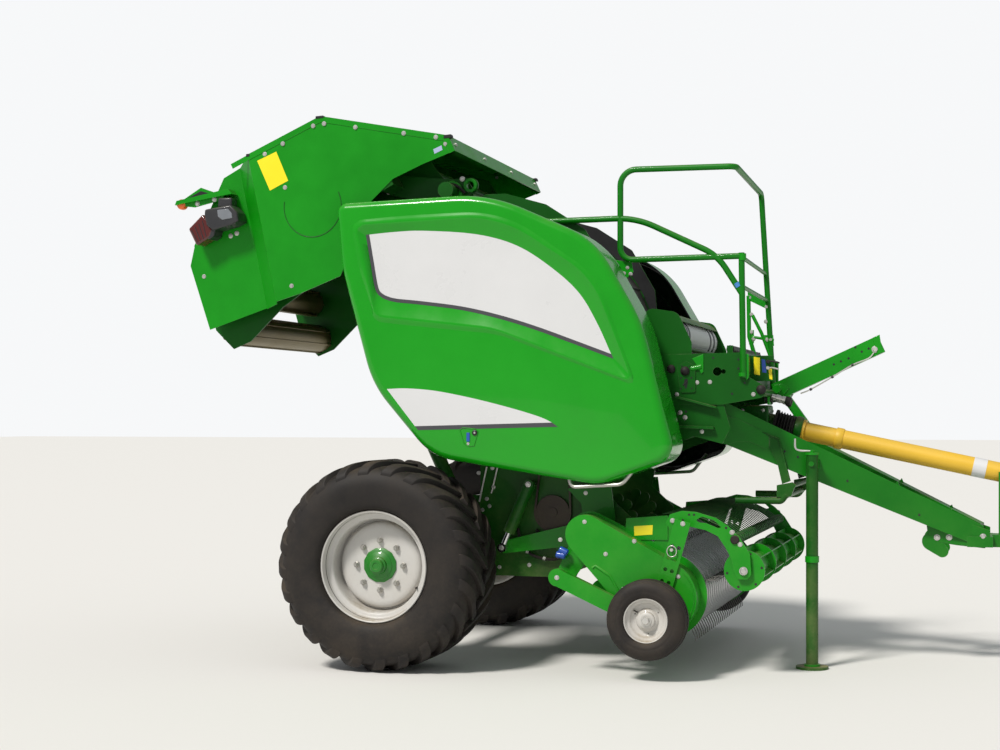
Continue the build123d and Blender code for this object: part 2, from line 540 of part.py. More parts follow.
BAND_PITCH, BAND_W, BAND_COUNT = 68, 48, 26
band_solid = (link(REEL, BAND_CARRIER, BAND_R, 26, 0, BAND_W)
              - link(REEL, BAND_CARRIER, BAND_R - 4, 22, -1, BAND_W + 1))
band_solid = band_solid - plate([(1300, 600), (1360, 705), REEL, (1620, 100), (1200, 100)],
                                -1, BAND_W + 1)
band_start = -BAND_PITCH * BAND_COUNT / 2 + (BAND_PITCH - BAND_W) / 2
bands = [band_solid.moved(Location((0, band_start + BAND_PITCH * k, 0)))
         for k in range(BAND_COUNT)]
save("stripper_bands", Compound(bands))

GAUGE_Y = 1200
arm_y = 1070
gauge_arm = beam((985, arm_y + 25, 498), (1460, arm_y + 25, 282), 50, 90)
gauge_arm = gauge_arm + disc(985, 498, 48, arm_y, arm_y + 50)
gauge_arm = gauge_arm + disc(*GAUGE, 45, arm_y, arm_y + 50) + disc(*GAUGE, 14, arm_y, 1262)
adjuster = beam((1668, arm_y - 4, 815), (1530, arm_y - 4, 330), 8, 88)
for k in range(5):
    for across in (-19, 19):
        hole_x, hole_z = 1628 - 18.5 * k + across * 0.962, 674 - 65 * k * 0.962 - across * 0.274
        adjuster = adjuster - disc(hole_x, hole_z, 11, arm_y - 20, arm_y + 20)
gauge_arm = gauge_arm + adjuster
gauge_arm = gauge_arm + disc(985, 498, 20, case_y, arm_y)
save("gauge_arms", both(gauge_arm))

GAUGE_TYRE = [(112, 56), (140, 72), (182, 75), (203, 62), (215, 40), (215, -40), (203, -62),
              (182, -75), (140, -72), (112, -56)]


def gauge_turned(section):
    solid = revolve(make_face(Polyline(*[(r, y, 0) for r, y in section], close=True)),
                    axis=Axis.Y)
    return solid.moved(Location((GAUGE[0], GAUGE_Y, GAUGE[1])))


gauge_rim = (disc(*GAUGE, 120, GAUGE_Y - 60, GAUGE_Y + 60)
             - disc(*GAUGE, 100, GAUGE_Y + 12, GAUGE_Y + 70)
             - disc(*GAUGE, 100, GAUGE_Y - 70, GAUGE_Y - 4)
             + disc(*GAUGE, 34, GAUGE_Y - 55, GAUGE_Y + 58))
gauge_rim = gauge_rim - disc(*GAUGE, 14.6, 1000, GAUGE_Y + 63)
gauge_tyre = gauge_turned(GAUGE_TYRE) - disc(*GAUGE, 120, 1000, 1400)
save("gauge_rim_left", gauge_rim)
save("gauge_rim_right", other_side(gauge_rim))
save("gauge_tyre_left", gauge_tyre)
save("gauge_tyre_right", other_side(gauge_tyre))

# ---------------------------------------------------------------- pick-up reel
TINE_BARS, BAR_CIRCLE_R = 5, 165
reel = disc(*REEL, 30, -950, 950)
bar_places = [polar(REEL, BAR_CIRCLE_R, 360 / TINE_BARS * k - 55) for k in range(TINE_BARS)]
for y in (-900, -510, -170, 170, 510, 900):
    reel = reel + disc(*REEL, 185, y - 3, y + 3)
for bar_x, bar_z in bar_places:
    reel = reel + disc(bar_x, bar_z, 13, -900, 900)
save("pickup_reel", reel)
tines = []
for k in range(BAND_COUNT + 1):
    y = band_start - (BAND_PITCH - BAND_W) / 2 + BAND_PITCH * k
    for i in range(TINE_BARS):
        angle = 360 / TINE_BARS * i - 55
        spoke = block((BAR_CIRCLE_R + 13.2, TINE_R), (y - 3, y + 3), (-3, 3))
        spoke = spoke.rotate(Axis.Y, -angle).moved(Location((REEL[0], 0, REEL[1])))
        tines.append(spoke)
save("reel_tines", Compound(tines))

# ---------------------------------------------------------------- crop guard and roller
GUARD_ARM = [(1562, 800), (1583, 845), (1649, 865), (1725, 860), (1833, 830), (1898, 788),
             (1962, 725), (2016, 640), (2024, 530), (2000, 504), (1952, 504), (1930, 552),
             (1920, 605), (1887, 669), (1844, 732), (1779, 763), (1682, 783), (1583, 768)]
GUARD_SLOT = [(1725, 816), (1758, 836), (1823, 818), (1866, 779), (1844, 775), (1779, 801),
              (1745, 803)]
guard_y = 985
guard_arm = plate(GUARD_ARM, guard_y, guard_y + 12, 12) - plate(GUARD_SLOT, 900, 1100, 5)
guard_arm = guard_arm - disc(*CROP_ROLLER, 16.5, 900, 1100) - disc(*GUARD_PIVOT, 12.5, 900, 1100)
crop_guard = both(guard_arm) + disc(1936, 715, 22, -guard_y, guard_y)
save("crop_guard", crop_guard)
guard_tine = (disc(1590, 330, 520, 0, 7) - disc(1590, 330, 513, -1, 8))
guard_tine = (guard_tine - disc(1936, 715, 22, -1, 8)) & plate([(1590, 330), (1925, 730), (1930, 1000), (1560, 1000),
                                 (1560, 330)], -1, 8)
TINE_PITCH = 70
guard_tines = [guard_tine.moved(Location((0, -910 + TINE_PITCH * k - 3.5, 0)))
               for k in range(27)]
save("guard_tines", Compound(guard_tines))

ROLLER_BAYS = [-965, -483, 0, 483, 965]
crop_roller = disc(*CROP_ROLLER, 70, -965, 965) + disc(*CROP_ROLLER, 16, -1005, 1005)
for y in ROLLER_BAYS:
    crop_roller = crop_roller + disc(*CROP_ROLLER, 110, y - 4, y + 4)
for k in range(6):
    slat = block((CROP_ROLLER[0] + 66, CROP_ROLLER[0] + 104), (-965, 965),
                 (CROP_ROLLER[1] - 3, CROP_ROLLER[1] + 3))
    crop_roller = crop_roller + slat.rotate(Axis((CROP_ROLLER[0], 0, CROP_ROLLER[1]),
                                                 (0, 1, 0)), 60 * k + 20)
save("crop_roller", crop_roller)

# ---------------------------------------------------------------- feed rotor
ROTOR_R = 195
rotor = disc(*PICKUP_PIVOT, 60, -620, 620) + disc(*PICKUP_PIVOT, 30.5, -686, 686)
for k in range(14):
    star = link(polar(PICKUP_PIVOT, 165, 27 * k), polar(PICKUP_PIVOT, 165, 27 * k + 180),
                30, 30.001, -585 + 90 * k - 6, -585 + 90 * k + 6)
    rotor = rotor + star
save("feed_rotor", rotor)

# ---------------------------------------------------------------- hydraulic rams
def ram(foot, eye_place, bore_r, rod_r, dead, y, overlap):
    """Barrel and rod of a cylinder between two pins; dead is the barrel's length."""
    span = math.dist(foot, eye_place)
    ux, uz = (eye_place[0] - foot[0]) / span, (eye_place[1] - foot[1]) / span

    def along(t):
        return (foot[0] + ux * t, y, foot[1] + uz * t)

    barrel = rod(along(0), along(dead), bore_r + 7) + disc(*foot, bore_r, y - 24, y + 24)
    barrel = barrel - rod(along(45), along(dead + 1), rod_r + 0.6)
    barrel = barrel - disc(*foot, 16.6, y - 60, y + 60)
    piston = rod(along(dead - overlap), along(span), rod_r)
    piston = piston + disc(*eye_place, bore_r - 2, y - 20, y + 20)
    return barrel, piston


GATE_RAM_EYE = gate_point(*GATE_RAM_EYE_SHUT)
gate_barrel, gate_rod = ram(GATE_RAM_FOOT, GATE_RAM_EYE, 33, 22, 1010, RAM_Y, 200)
save("gate_ram_barrel_left", gate_barrel)
save("gate_ram_barrel_right", other_side(gate_barrel))
save("gate_ram_rod_left", gate_rod)
save("gate_ram_rod_right", other_side(gate_rod))
pick_barrel, pick_rod = ram(PICKUP_RAM_HEAD, LEVER_END, 28, 16, 300, RAM_Y + 20, 180)
save("pickup_ram_barrel", other_side(pick_barrel))
save("pickup_ram_rod", other_side(pick_rod))
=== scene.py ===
import math

import bmesh
import bpy
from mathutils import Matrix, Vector


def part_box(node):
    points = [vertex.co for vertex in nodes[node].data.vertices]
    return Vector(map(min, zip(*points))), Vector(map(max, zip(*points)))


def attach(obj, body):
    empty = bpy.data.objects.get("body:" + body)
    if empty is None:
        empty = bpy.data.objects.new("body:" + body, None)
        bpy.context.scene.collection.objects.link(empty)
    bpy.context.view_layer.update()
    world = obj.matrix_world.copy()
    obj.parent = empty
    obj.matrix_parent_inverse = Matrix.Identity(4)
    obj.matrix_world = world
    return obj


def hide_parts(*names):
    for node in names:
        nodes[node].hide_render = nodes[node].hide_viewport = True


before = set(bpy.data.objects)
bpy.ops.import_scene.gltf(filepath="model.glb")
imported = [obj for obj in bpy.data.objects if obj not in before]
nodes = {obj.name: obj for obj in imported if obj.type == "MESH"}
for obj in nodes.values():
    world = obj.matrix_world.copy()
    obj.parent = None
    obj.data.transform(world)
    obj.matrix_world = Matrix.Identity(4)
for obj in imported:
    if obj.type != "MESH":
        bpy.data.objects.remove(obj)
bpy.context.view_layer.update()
SIDES = ((1, "left"), (-1, "right"))

# ------------------------------------------------------------------ standpoint
# Everything below is placed from the main axle: x forwards, y to the machine's left, in mm, and z
# upwards with the axle's middle at 550. The ground is LIFT below zero.
# The camera stands level beside the right-hand front corner, about ten metres away.
RIM_LOW, RIM_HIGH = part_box("rim_left")
AXLE_X = (RIM_LOW.x + RIM_HIGH.x) / 2
AXLE_Z = 550
LIFT = (RIM_LOW.z + RIM_HIGH.z) * 500 - AXLE_Z


def at(x, y, z):
    """A place in millimetres, x from the axle, y from the machine's middle, z as above."""
    return Vector((AXLE_X + x / 1000, y / 1000, (z + LIFT) / 1000))


def link_object(name, content):
    """Puts a mesh, camera or lamp into the scene at the origin."""
    thing = bpy.data.objects.new(name, content)
    bpy.context.scene.collection.objects.link(thing)
    return thing


camera = link_object("camera", bpy.data.cameras.new("camera"))
camera.location = at(3287, -10075, 1382)
camera.rotation_euler = (math.radians(90), 0, math.radians(16.33))
camera.data.lens = 61.2
camera.data.shift_y = 0.04
camera.data.clip_end = 200
bpy.context.scene.camera = camera

# ------------------------------------------------------------------ hall floor and light
# A pale matt floor under an even white sky, with one soft lamp high on the camera's left. The
# camera sees a paler sky than the one that lights the machine.
bpy.context.scene.view_settings.view_transform = "Standard"


def colour(red, green, blue):
    """A paint chip's 0-255 values as the linear colour that shaders take."""
    return tuple(((c / 255 + 0.055) / 1.055) ** 2.4 if c > 10 else c / 255 / 12.92
                 for c in (red, green, blue)) + (1.0,)


def wire(tree, node, inputs):
    """Sets a node's inputs, by name or number, to plain values or other nodes' outputs."""
    for socket, value in inputs.items():
        if hasattr(value, "is_linked"):
            tree.links.new(value, node.inputs[socket])
        else:
            node.inputs[socket].default_value = value
    return node


def add_node(tree, kind, inputs=None, **settings):
    """A new node with its settings and inputs."""
    node = tree.nodes.new(kind)
    for setting, value in settings.items():
        setattr(node, setting, value)
    return wire(tree, node, inputs or {})


floor_mesh = bpy.data.meshes.new("floor")
floor_mesh.from_pydata([(-60, -60, 0), (60, -60, 0), (60, 90, 0), (-60, 90, 0)], [], [(0, 1, 2, 3)])
floor_paint = bpy.data.materials.new("floor paint")
floor_paint.use_nodes = True
wire(floor_paint.node_tree, floor_paint.node_tree.nodes["Principled BSDF"],
     {"Base Color": colour(226, 224, 220), "Roughness": 0.9})
floor_mesh.materials.append(floor_paint)
link_object("floor", floor_mesh)

world = bpy.data.worlds.new("sky")
bpy.context.scene.world = world
world.use_nodes = True
sky = world.node_tree
sky_light = wire(sky, sky.nodes["Background"], {"Color": (0.92, 0.96, 1.0, 1), "Strength": 0.42})
backdrop = add_node(sky, "ShaderNodeBackground", {"Color": (0.93, 0.94, 0.95, 1)})
seen = add_node(sky, "ShaderNodeLightPath").outputs["Is Camera Ray"]
either = add_node(sky, "ShaderNodeMixShader",
                  {"Fac": seen, 1: sky_light.outputs[0], 2: backdrop.outputs[0]})
wire(sky, sky.nodes["World Output"], {"Surface": either.outputs[0]})

sun = link_object("soft sun", bpy.data.lights.new("soft sun", "SUN"))
sun.data.energy = 3.2
sun.data.angle = math.radians(11)
sun.data.color = (1.0, 0.97, 0.92)
sun.rotation_euler = (math.radians(40), 0, math.radians(-26))

# ------------------------------------------------------------------ paint and dust
# The machine is sprayed one gloss green over primed steel. Field dust lies on what faces up, the
# edges are rubbed to a paler tone, and the coat has a faint orange peel.


def group(name, sockets_in, socket_out):
    """An empty shader node group with named sockets, and its input and output nodes."""
    tree = bpy.data.node_groups.new(name, "ShaderNodeTree")
    for socket, default in sockets_in.items():
        item = tree.interface.new_socket(name=socket, in_out="INPUT", socket_type="NodeSocketFloat")
        item.default_value = default
    tree.interface.new_socket(name=socket_out, in_out="OUTPUT", socket_type="NodeSocketFloat")
    return tree, tree.nodes.new("NodeGroupInput").outputs, tree.nodes.new("NodeGroupOutput")


def math_node(tree, operation, *values):
    """A Math node fed with sockets or plain numbers."""
    return add_node(tree, "ShaderNodeMath", dict(enumerate(values)), operation=operation).outputs[0]


def noise(tree, scale, detail=4.0, roughness=0.55, stretch=(1, 1, 1)):
    """Noise over Object coordinates; stretch squeezes the pattern along an axis."""
    place = add_node(tree, "ShaderNodeTexCoord").outputs["Object"]
    mapping = add_node(tree, "ShaderNodeMapping", {"Scale": stretch, "Vector": place})
    return add_node(tree, "ShaderNodeTexNoise",
                    {"Scale": scale, "Detail": detail, "Roughness": roughness,
                     "Vector": mapping.outputs[0]}).outputs["Fac"]


def ramp(tree, value, low, high):
    """Value stretched so that low becomes 0 and high becomes 1."""
    return add_node(tree, "ShaderNodeMapRange", {"Value": value, "From Min": low, "From Max": high}
                    ).outputs["Result"]


def face_axes(tree):
    """The separate axes of a face's direction and of its place."""
    face = add_node(tree, "ShaderNodeNewGeometry").outputs
    return [add_node(tree, "ShaderNodeSeparateXYZ", {0: face[name]}).outputs
            for name in ("Normal", "Position")]


dust_tree, dust_in, dust_out = group("Field dust", {"Amount": 0.5, "Scale": 6.0, "Low": 0.6},
                                     "Mask")
facing, place = face_axes(dust_tree)
upward = math_node(dust_tree, "POWER", math_node(dust_tree, "MAXIMUM", facing["Z"], 0.0), 2.0)
near_ground = ramp(dust_tree, place["Z"], 1.3, 0.1)
low_part = math_node(dust_tree, "MULTIPLY", near_ground, dust_in["Low"])
lying = math_node(dust_tree, "ADD", upward, low_part)
clouds = ramp(dust_tree, noise(dust_tree, dust_in["Scale"]), 0.35, 0.75)
specks = ramp(dust_tree, noise(dust_tree, 60.0, 2.0), 0.45, 0.8)
patches = math_node(dust_tree, "ADD", clouds, math_node(dust_tree, "MULTIPLY", specks, 0.35))
mask = math_node(dust_tree, "MULTIPLY", lying, patches)
mask = math_node(dust_tree, "MULTIPLY", mask, dust_in["Amount"])
wire(dust_tree, dust_out, {"Mask": math_node(dust_tree, "MINIMUM", mask, 1.0)})

wear_tree, wear_in, wear_out = group("Edge wear", {"Amount": 0.5, "Width": 0.006}, "Mask")
flat = add_node(wear_tree, "ShaderNodeNewGeometry").outputs["Normal"]
rounded_off = add_node(wear_tree, "ShaderNodeBevel", {"Radius": wear_in["Width"]}, samples=4)
likeness = add_node(wear_tree, "ShaderNodeVectorMath", {0: flat, 1: rounded_off.outputs[0]},
                    operation="DOT_PRODUCT")
edge = ramp(wear_tree, likeness.outputs["Value"], 0.985, 0.86)
scuffs = ramp(wear_tree, noise(wear_tree, 14.0, 5.0, 0.7), 0.42, 0.66)
worn = math_node(wear_tree, "MULTIPLY", edge, scuffs)
wire(wear_tree, wear_out, {"Mask": math_node(wear_tree, "MULTIPLY", worn, wear_in["Amount"])})

# Painted shade: a mask of the faces that point towards the machine's middle, which the doors darken
# to near black as if unlit.
inside_shade_tree, _, inside_shade_out = group("Painted shade on faces towards the middle", {}, "Mask")
facing, place = face_axes(inside_shade_tree)
inwards = math_node(inside_shade_tree, "MULTIPLY", facing["Y"], place["Y"])
wire(inside_shade_tree, inside_shade_out, {"Mask": math_node(inside_shade_tree, "LESS_THAN", inwards, -0.25)})

grain_tree, grain_in, grain_out = group("Grain", {"Scale": 120.0, "Depth": 0.4}, "Height")
fine = noise(grain_tree, grain_in["Scale"], 3.0)
wire(grain_tree, grain_out, {"Height": math_node(grain_tree, "MULTIPLY", fine, grain_in["Depth"])})

DUST_TONE = colour(150, 138, 100)
ROUGH_SPREAD = 0.12
slot_of = {}


def placed(tree, shared, **values):
    """A shared group set down in a material with its own values."""
    return add_node(tree, "ShaderNodeGroup", values, node_tree=shared).outputs[0]


def blend_colours(tree, mask_value, under, over):
    """Colour under showing through where the mask is 0, and over where it is 1."""
    return add_node(tree, "ShaderNodeMix", {"Factor": mask_value, 6: under, 7: over},
                    data_type="RGBA").outputs[2]


def finish_of(name, tone, roughness, slot=None, metallic=0.0, coat=0.0, dust=0.0, low_dust=0.4,
              wear=0.0, worn_tone=None, variation=0.12, grain=(140.0, 0.25), bump=0.06,
              dust_tone=DUST_TONE, inside_shade=None, shine=0.5):
    """A surface: its tone varied a little, then painted shade on faces towards the middle where
    asked, then wear along the edges, then dust over all.
    """
    material = bpy.data.materials.new(name)
    material.use_nodes = True
    slot_of[name] = slot
    tree = material.node_tree
    darker, lighter = [tuple(min(1.0, c * share) for c in tone[:3]) + (1.0,)
                       for share in (1 - variation, 1 + variation)]
    cloud = ramp(tree, noise(tree, 3.0, 5.0, 0.6), 0.3, 0.7)
    surface = blend_colours(tree, cloud, darker, lighter)
    # Painted shade: faces towards the machine's middle darkened to the given tone.
    if inside_shade:
        surface = blend_colours(tree, placed(tree, inside_shade_tree), surface, inside_shade)
    if wear:
        rubbed = placed(tree, wear_tree, Amount=wear)
        surface = blend_colours(tree, rubbed, surface, worn_tone)
    rough = math_node(tree, "MULTIPLY_ADD", cloud, ROUGH_SPREAD, roughness - ROUGH_SPREAD / 2)
    if dust:
        dirt = placed(tree, dust_tree, Amount=dust, Low=low_dust)
        surface = blend_colours(tree, dirt, surface, dust_tone)
        rough = math_node(tree, "MULTIPLY_ADD", dirt, 0.5, rough)
    height = placed(tree, grain_tree, Scale=grain[0], Depth=grain[1])
    relief = add_node(tree, "ShaderNodeBump",
                      {"Strength": bump, "Distance": 0.01, "Height": height})
    wire(tree, tree.nodes["Principled BSDF"],
         {"Base Color": surface, "Roughness": rough, "Metallic": metallic, "Coat Weight": coat,
          "Specular IOR Level": shine, "Normal": relief.outputs[0]})
    return material


def set_finish(node, material):
    """Gives a carried-over node its finish, with smooth curved faces and crisp folds."""
    piece = nodes[node]
    piece.data.materials.clear()
    piece.data.materials.append(material)
    for face in piece.data.polygons:
        face.use_smooth = True
        face.material_index = 0
    piece.modifiers.new("weld", "WELD").merge_threshold = 0.0002
    piece.modifiers.new("folds", "EDGE_SPLIT").split_angle = math.radians(32)


green_paint = finish_of("green machine paint", colour(12, 138, 14), 0.34, "green_paint", coat=0.15,
                        dust=0.4, low_dust=0.22, wear=0.5, worn_tone=colour(80, 158, 70),
                        grain=(90.0, 0.3), bump=0.05, shine=0.25)
# Darker copies of the same green are painted shade: half shade on the beams and hangers, deep shade
# on the frames, platform and works below, which also carry more dust.
half_shaded_green_paint = finish_of("green paint half darkened as painted shade", colour(6, 112, 8), 0.4, "green_paint", coat=0.12,
                             dust=0.4, low_dust=0.2, wear=0.6, worn_tone=colour(84, 140, 74),
                             shine=0.25)
shaded_dusty_green_paint = finish_of("green paint darkened as painted shade, dusty", colour(6, 84, 9), 0.45, "green_paint",
                             coat=0.08, dust=0.7, low_dust=0.45, wear=0.6,
                             worn_tone=colour(92, 124, 80), shine=0.2)
# The frames, platform and works get the deeply shaded copy, the beams and hangers the half shaded
# one.
for material, painted in (
        (shaded_dusty_green_paint, ("side_frames", "axle_beam", "platform", "net_box", "tailgate_frame",
                            "parking_jack", "gearbox", "gate_ram_barrel_left",
                            "gate_ram_barrel_right", "pickup_ram_barrel", "feed_rotor",
                            "hitch_eye", "field_stand", "net_cover")),
        (half_shaded_green_paint, ("guard_rails", "drawbar", "pickup_hangers")),
        (green_paint, ("tailgate_side_left", "tailgate_side_right", "tailgate_cover", "hose_arm",
                       "pickup_frame", "chain_cases", "gauge_arms", "crop_guard", "crop_roller",
                       "pickup_reel", "lamp_arms"))):
    for node in painted:
        set_finish(node, material)

# ------------------------------------------------------------------ main wheels
# Two wide flotation tyres on dished silver rims, each held by eight studs round a green hub. The
# tread is a ring of curved bars from the middle to each shoulder.
rubber = finish_of("tyre rubber", colour(31, 28, 27), 0.62, "black_plastic", dust=0.4,
                   variation=0.25, grain=(260.0, 0.5), bump=0.12, dust_tone=colour(112, 98, 80),
                   shine=0.3)
rim_silver = finish_of("rim silver", colour(196, 194, 190), 0.33, "rim_paint", coat=0.3, dust=0.8,
                       low_dust=0.35, variation=0.08, dust_tone=colour(150, 136, 112))
bare_steel = finish_of("bare steel", colour(176, 174, 168), 0.32, "bare_steel", metallic=0.9,
                       dust=0.3, grain=(220.0, 0.4))
hub_green = finish_of("green hub cap", colour(4, 112, 10), 0.4, "green_paint", coat=0.3, dust=0.4,
                      low_dust=0.1, wear=0.7, worn_tone=colour(70, 150, 64))
TYRE_LOW, TYRE_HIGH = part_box("tyre_left")
TYRE_MIDDLE = (TYRE_LOW.y + TYRE_HIGH.y) / 2 * 1000
TYRE_RADIUS = TYRE_HIGH.z * 500
LUG_COUNT, BAR_SWEEP, BAR_WIDTH = 24, 21, 58
STUD_COUNT, STUD_RADIUS, DISC_FACE = 8, 137.5, 1215
# Radius against distance from the tyre's middle: the carcass, and the bars' tops over it.
CARCASS = [(TYRE_RADIUS - 26, 0), (TYRE_RADIUS - 27, 110), (TYRE_RADIUS - 32, 180),
           (TYRE_RADIUS - 50, 236), (TYRE_RADIUS - 84, 266), (450, 281), (380, 278), (332, 264),
           (311, 236)]
BAR_TOP = [(TYRE_RADIUS, 0), (TYRE_RADIUS, 120), (TYRE_RADIUS - 1, 180), (TYRE_RADIUS - 12, 232),
           (TYRE_RADIUS - 42, 266), (TYRE_RADIUS - 66, 277)]
# The rim as (radius, distance from the machine's middle): the flange, the seat's bands and the
# dished disc with its rounded shoulder; then the barrel behind it, the hub's cap and the nuts.
RIM_FACE = [(309, 1330), (305, 1335), (299, 1332), (296, 1322), (293, 1300), (291, 1282),
            (287, 1275), (280, 1272), (268, 1270), (262, 1266), (259, 1256), (256, 1215),
            (253, 1172), (249, 1166), (243, 1168), (240, 1176), (238, 1190), (232, 1203),
            (220, 1212), (200, 1215), (150, 1215), (92, 1215), (92, 1200), (150, 1200),
            (222, 1198), (232, 1160), (256, 1160), (262, 1215), (266, 1256), (288, 1262),
            (297, 1280), (303, 1320)]
RIM_BARREL = [(246, 1166), (246, 905), (276, 868), (288, 856), (307, 852), (307, 838), (296, 838),
              (282, 850), (262, 880), (256, 908), (256, 1166)]
HUB_PLATE = [(0, 1180), (97, 1180), (97, 1222), (88, 1229), (0, 1229)]
HUB_NOSE = [(0, 1225), (74, 1225), (74, 1234), (60, 1242), (50, 1246), (47, 1262), (39, 1266),
            (39, 1282), (33, 1289), (20, 1290), (17, 1286), (0, 1286)]
NUT = [(0, -2), (19, -2), (19, 3), (16, 4), (16, 18), (13, 21), (8, 21), (8, 29), (0, 29)]


def curve_through(points, steps):
    """Smooth line through the points, steps to each stretch."""
    ends = [2 * points[0] - points[1]] + points + [2 * points[-1] - points[-2]]
    line = []
    for before, start, end, after in zip(ends, ends[1:], ends[2:], ends[3:]):
        for k in range(steps):
            t = k / steps
            line.append(0.5 * (2 * start + (end - before) * t
                               + (2 * before - 5 * start + 4 * end - after) * t * t
                               + (3 * start - before - 3 * end + after) * t ** 3))
    return line + [points[-1]]


def carcass_section():
    """The carcass across its whole width, round its inside."""
    half = [(p.x, p.y) for p in curve_through([Vector((r, w, 0)) for r, w in CARCASS], 4)]
    return ([(r, TYRE_MIDDLE + w) for r, w in half[::-1]]
            + [(r, TYRE_MIDDLE - w) for r, w in half[1:]]
            + [(292, TYRE_MIDDLE - 222), (292, TYRE_MIDDLE + 206)])


def woven(rows, closed=True):
    """Faces between equal rows of points; the last row meets the first if closed."""
    count, depth = len(rows[0]), len(rows)
    faces = [(row * count + i, row * count + (i + 1) % count,
              (row + 1) % depth * count + (i + 1) % count, (row + 1) % depth * count + i)
             for row in range(depth if closed else depth - 1) for i in range(count)]
    return [point for row in rows for point in row], faces


def tread_bar(side, way):
    """A swept bar from the tread's middle to its outer (way 1) or inner (way -1) shoulder."""
    line = curve_through([Vector((r, w, 0)) for r, w in BAR_TOP], 3)
    rows = []
    for spot in line:
        reach = spot.y / BAR_TOP[-1][1]
        middle = math.radians(-BAR_SWEEP * reach ** 1.2 + (0 if way > 0 else 180 / LUG_COUNT))
        across = side * (TYRE_MIDDLE + way * (spot.y - 14))
        half_angle = BAR_WIDTH * (0.42 + 0.14 * reach) / TYRE_RADIUS
        rows.append([at((spot.x - depth) * math.cos(middle + spread * half_angle), across,
                        AXLE_Z - (spot.x - depth) * math.sin(middle + spread * half_angle))
                     for depth, spread in ((34, 1.25), (2, 1.0), (2, -1.0), (34, -1.25))])
    points, faces = woven(rows, closed=False)
    last = len(points) - 4
    return points, faces + [(0, 1, 2, 3), (last, last + 1, last + 2, last + 3)]


def geometry_tree(name, sockets):
    """An empty Geometry Nodes tree with named inputs, and its input and output nodes."""
    tree = bpy.data.node_groups.new(name, "GeometryNodeTree")
    for socket, kind in {"Geometry": "Geometry", **sockets}.items():
        tree.interface.new_socket(name=socket, in_out="INPUT", socket_type="NodeSocket" + kind)
    tree.interface.new_socket(name="Geometry", in_out="OUTPUT", socket_type="NodeSocketGeometry")
    return tree, tree.nodes.new("NodeGroupInput").outputs, tree.nodes.new("NodeGroupOutput")


def end_tree(tree, tree_in, tree_out, points, instance, turn=None):
    """Ends a tree in instances on its points, made real and painted."""
    copies = add_node(tree, "GeometryNodeInstanceOnPoints",
                      {"Points": points, "Instance": instance})
    if turn:
        wire(tree, copies, {"Rotation": turn})
    real = add_node(tree, "GeometryNodeRealizeInstances", {0: copies.outputs[0]})
    paint = add_node(tree, "GeometryNodeSetMaterial",
                     {"Geometry": real.outputs[0], "Material": tree_in["Material"]})
    wire(tree, tree_out, {0: paint.outputs[0]})


ring_tree, ring_in, ring_out = geometry_tree(
    "Ring about a cross axle", {"Centre": "Vector", "Count": "Int", "Material": "Material"})
away = add_node(ring_tree, "ShaderNodeVectorMath", {0: ring_in["Centre"], "Scale": -1.0},
                operation="SCALE")
to_axle = add_node(ring_tree, "GeometryNodeTransform",
                   {"Translation": away.outputs[0], "Geometry": ring_in["Geometry"]})
ring_spots = add_node(ring_tree, "GeometryNodeMeshLine",
                      {"Offset": (0, 0, 0), "Count": ring_in["Count"],
                       "Start Location": ring_in["Centre"]})
ring_step = add_node(ring_tree, "GeometryNodeInputIndex")
share = math_node(ring_tree, "DIVIDE", ring_step.outputs[0], ring_in["Count"])
ring_turn = add_node(ring_tree, "ShaderNodeCombineXYZ",
                     {"Y": math_node(ring_tree, "MULTIPLY", share, 2 * math.pi)})
end_tree(ring_tree, ring_in, ring_out, ring_spots.outputs[0], to_axle.outputs[0],
         ring_turn.outputs[0])


def dress(piece, material, body, slot, replaces=None):
    """Hangs a piece on the body it rides on and hides the node it replaces; the finish slot is
    looked up but not used.
    """
    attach(piece, body)
    slot = slot or slot_of[material.name]
    if replaces:
        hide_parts(replaces)


def repeated(name, mesh, tree, material, body, slot=None, replaces=None, **values):
    """A mesh run through a repeating tree, left as a plain mesh and riding on a body."""
    piece = link_object(name, mesh)
    modifier = piece.modifiers.new("repeat", "NODES")
    modifier.node_group = tree
    names = {item.name: item.identifier for item in tree.interface.items_tree
             if item.in_out == "INPUT"}
    for socket, value in {"Material": material, **values}.items():
        modifier[names[socket]] = value
    view_layer = bpy.context.evaluated_depsgraph_get()
    plain = bpy.data.meshes.new_from_object(piece.evaluated_get(view_layer))
    piece.modifiers.clear()
    piece.data = plain
    dress(piece, material, body, slot, replaces)
    return piece


def joined(shapes):
    """Several closed shapes as one list of points and one of faces."""
    points, faces = [], []
    for shape_points, shape_faces in shapes:
        start = len(points)
        points += shape_points
        faces += [tuple(start + i for i in face) for face in shape_faces]
    return points, faces


def mesh_of(name, points, faces, sharp_degrees=35):
    """A closed mesh with its faces turned outwards and only its real corners sharp."""
    mesh = bpy.data.meshes.new(name)
    mesh.from_pydata([tuple(p) for p in points], [], faces)
    shape = bmesh.new()
    shape.from_mesh(mesh)
    bmesh.ops.remove_doubles(shape, verts=shape.verts, dist=0.00002)
    bmesh.ops.recalc_face_normals(shape, faces=shape.faces)
    shape.to_mesh(mesh)
    shape.free()
    mesh.polygons.foreach_set("use_smooth", [True] * len(mesh.polygons))
    mesh.set_sharp_from_angle(angle=math.radians(sharp_degrees))
    return mesh


def piece_of(name, shapes, material, body="chassis", slot=None, sharp=35, rolled=0, replaces=None):
    """One piece made of closed shapes in one material, riding on a body."""
    mesh = mesh_of(name, *joined(shapes), sharp)
    mesh.materials.append(material)
    piece = link_object(name, mesh)
    if rolled:
        edges = piece.modifiers.new("rolled edges", "BEVEL")
        edges.width = rolled / 1000
        edges.limit_method = "ANGLE"
        edges.segments = 2
    dress(piece, material, body, slot, replaces)


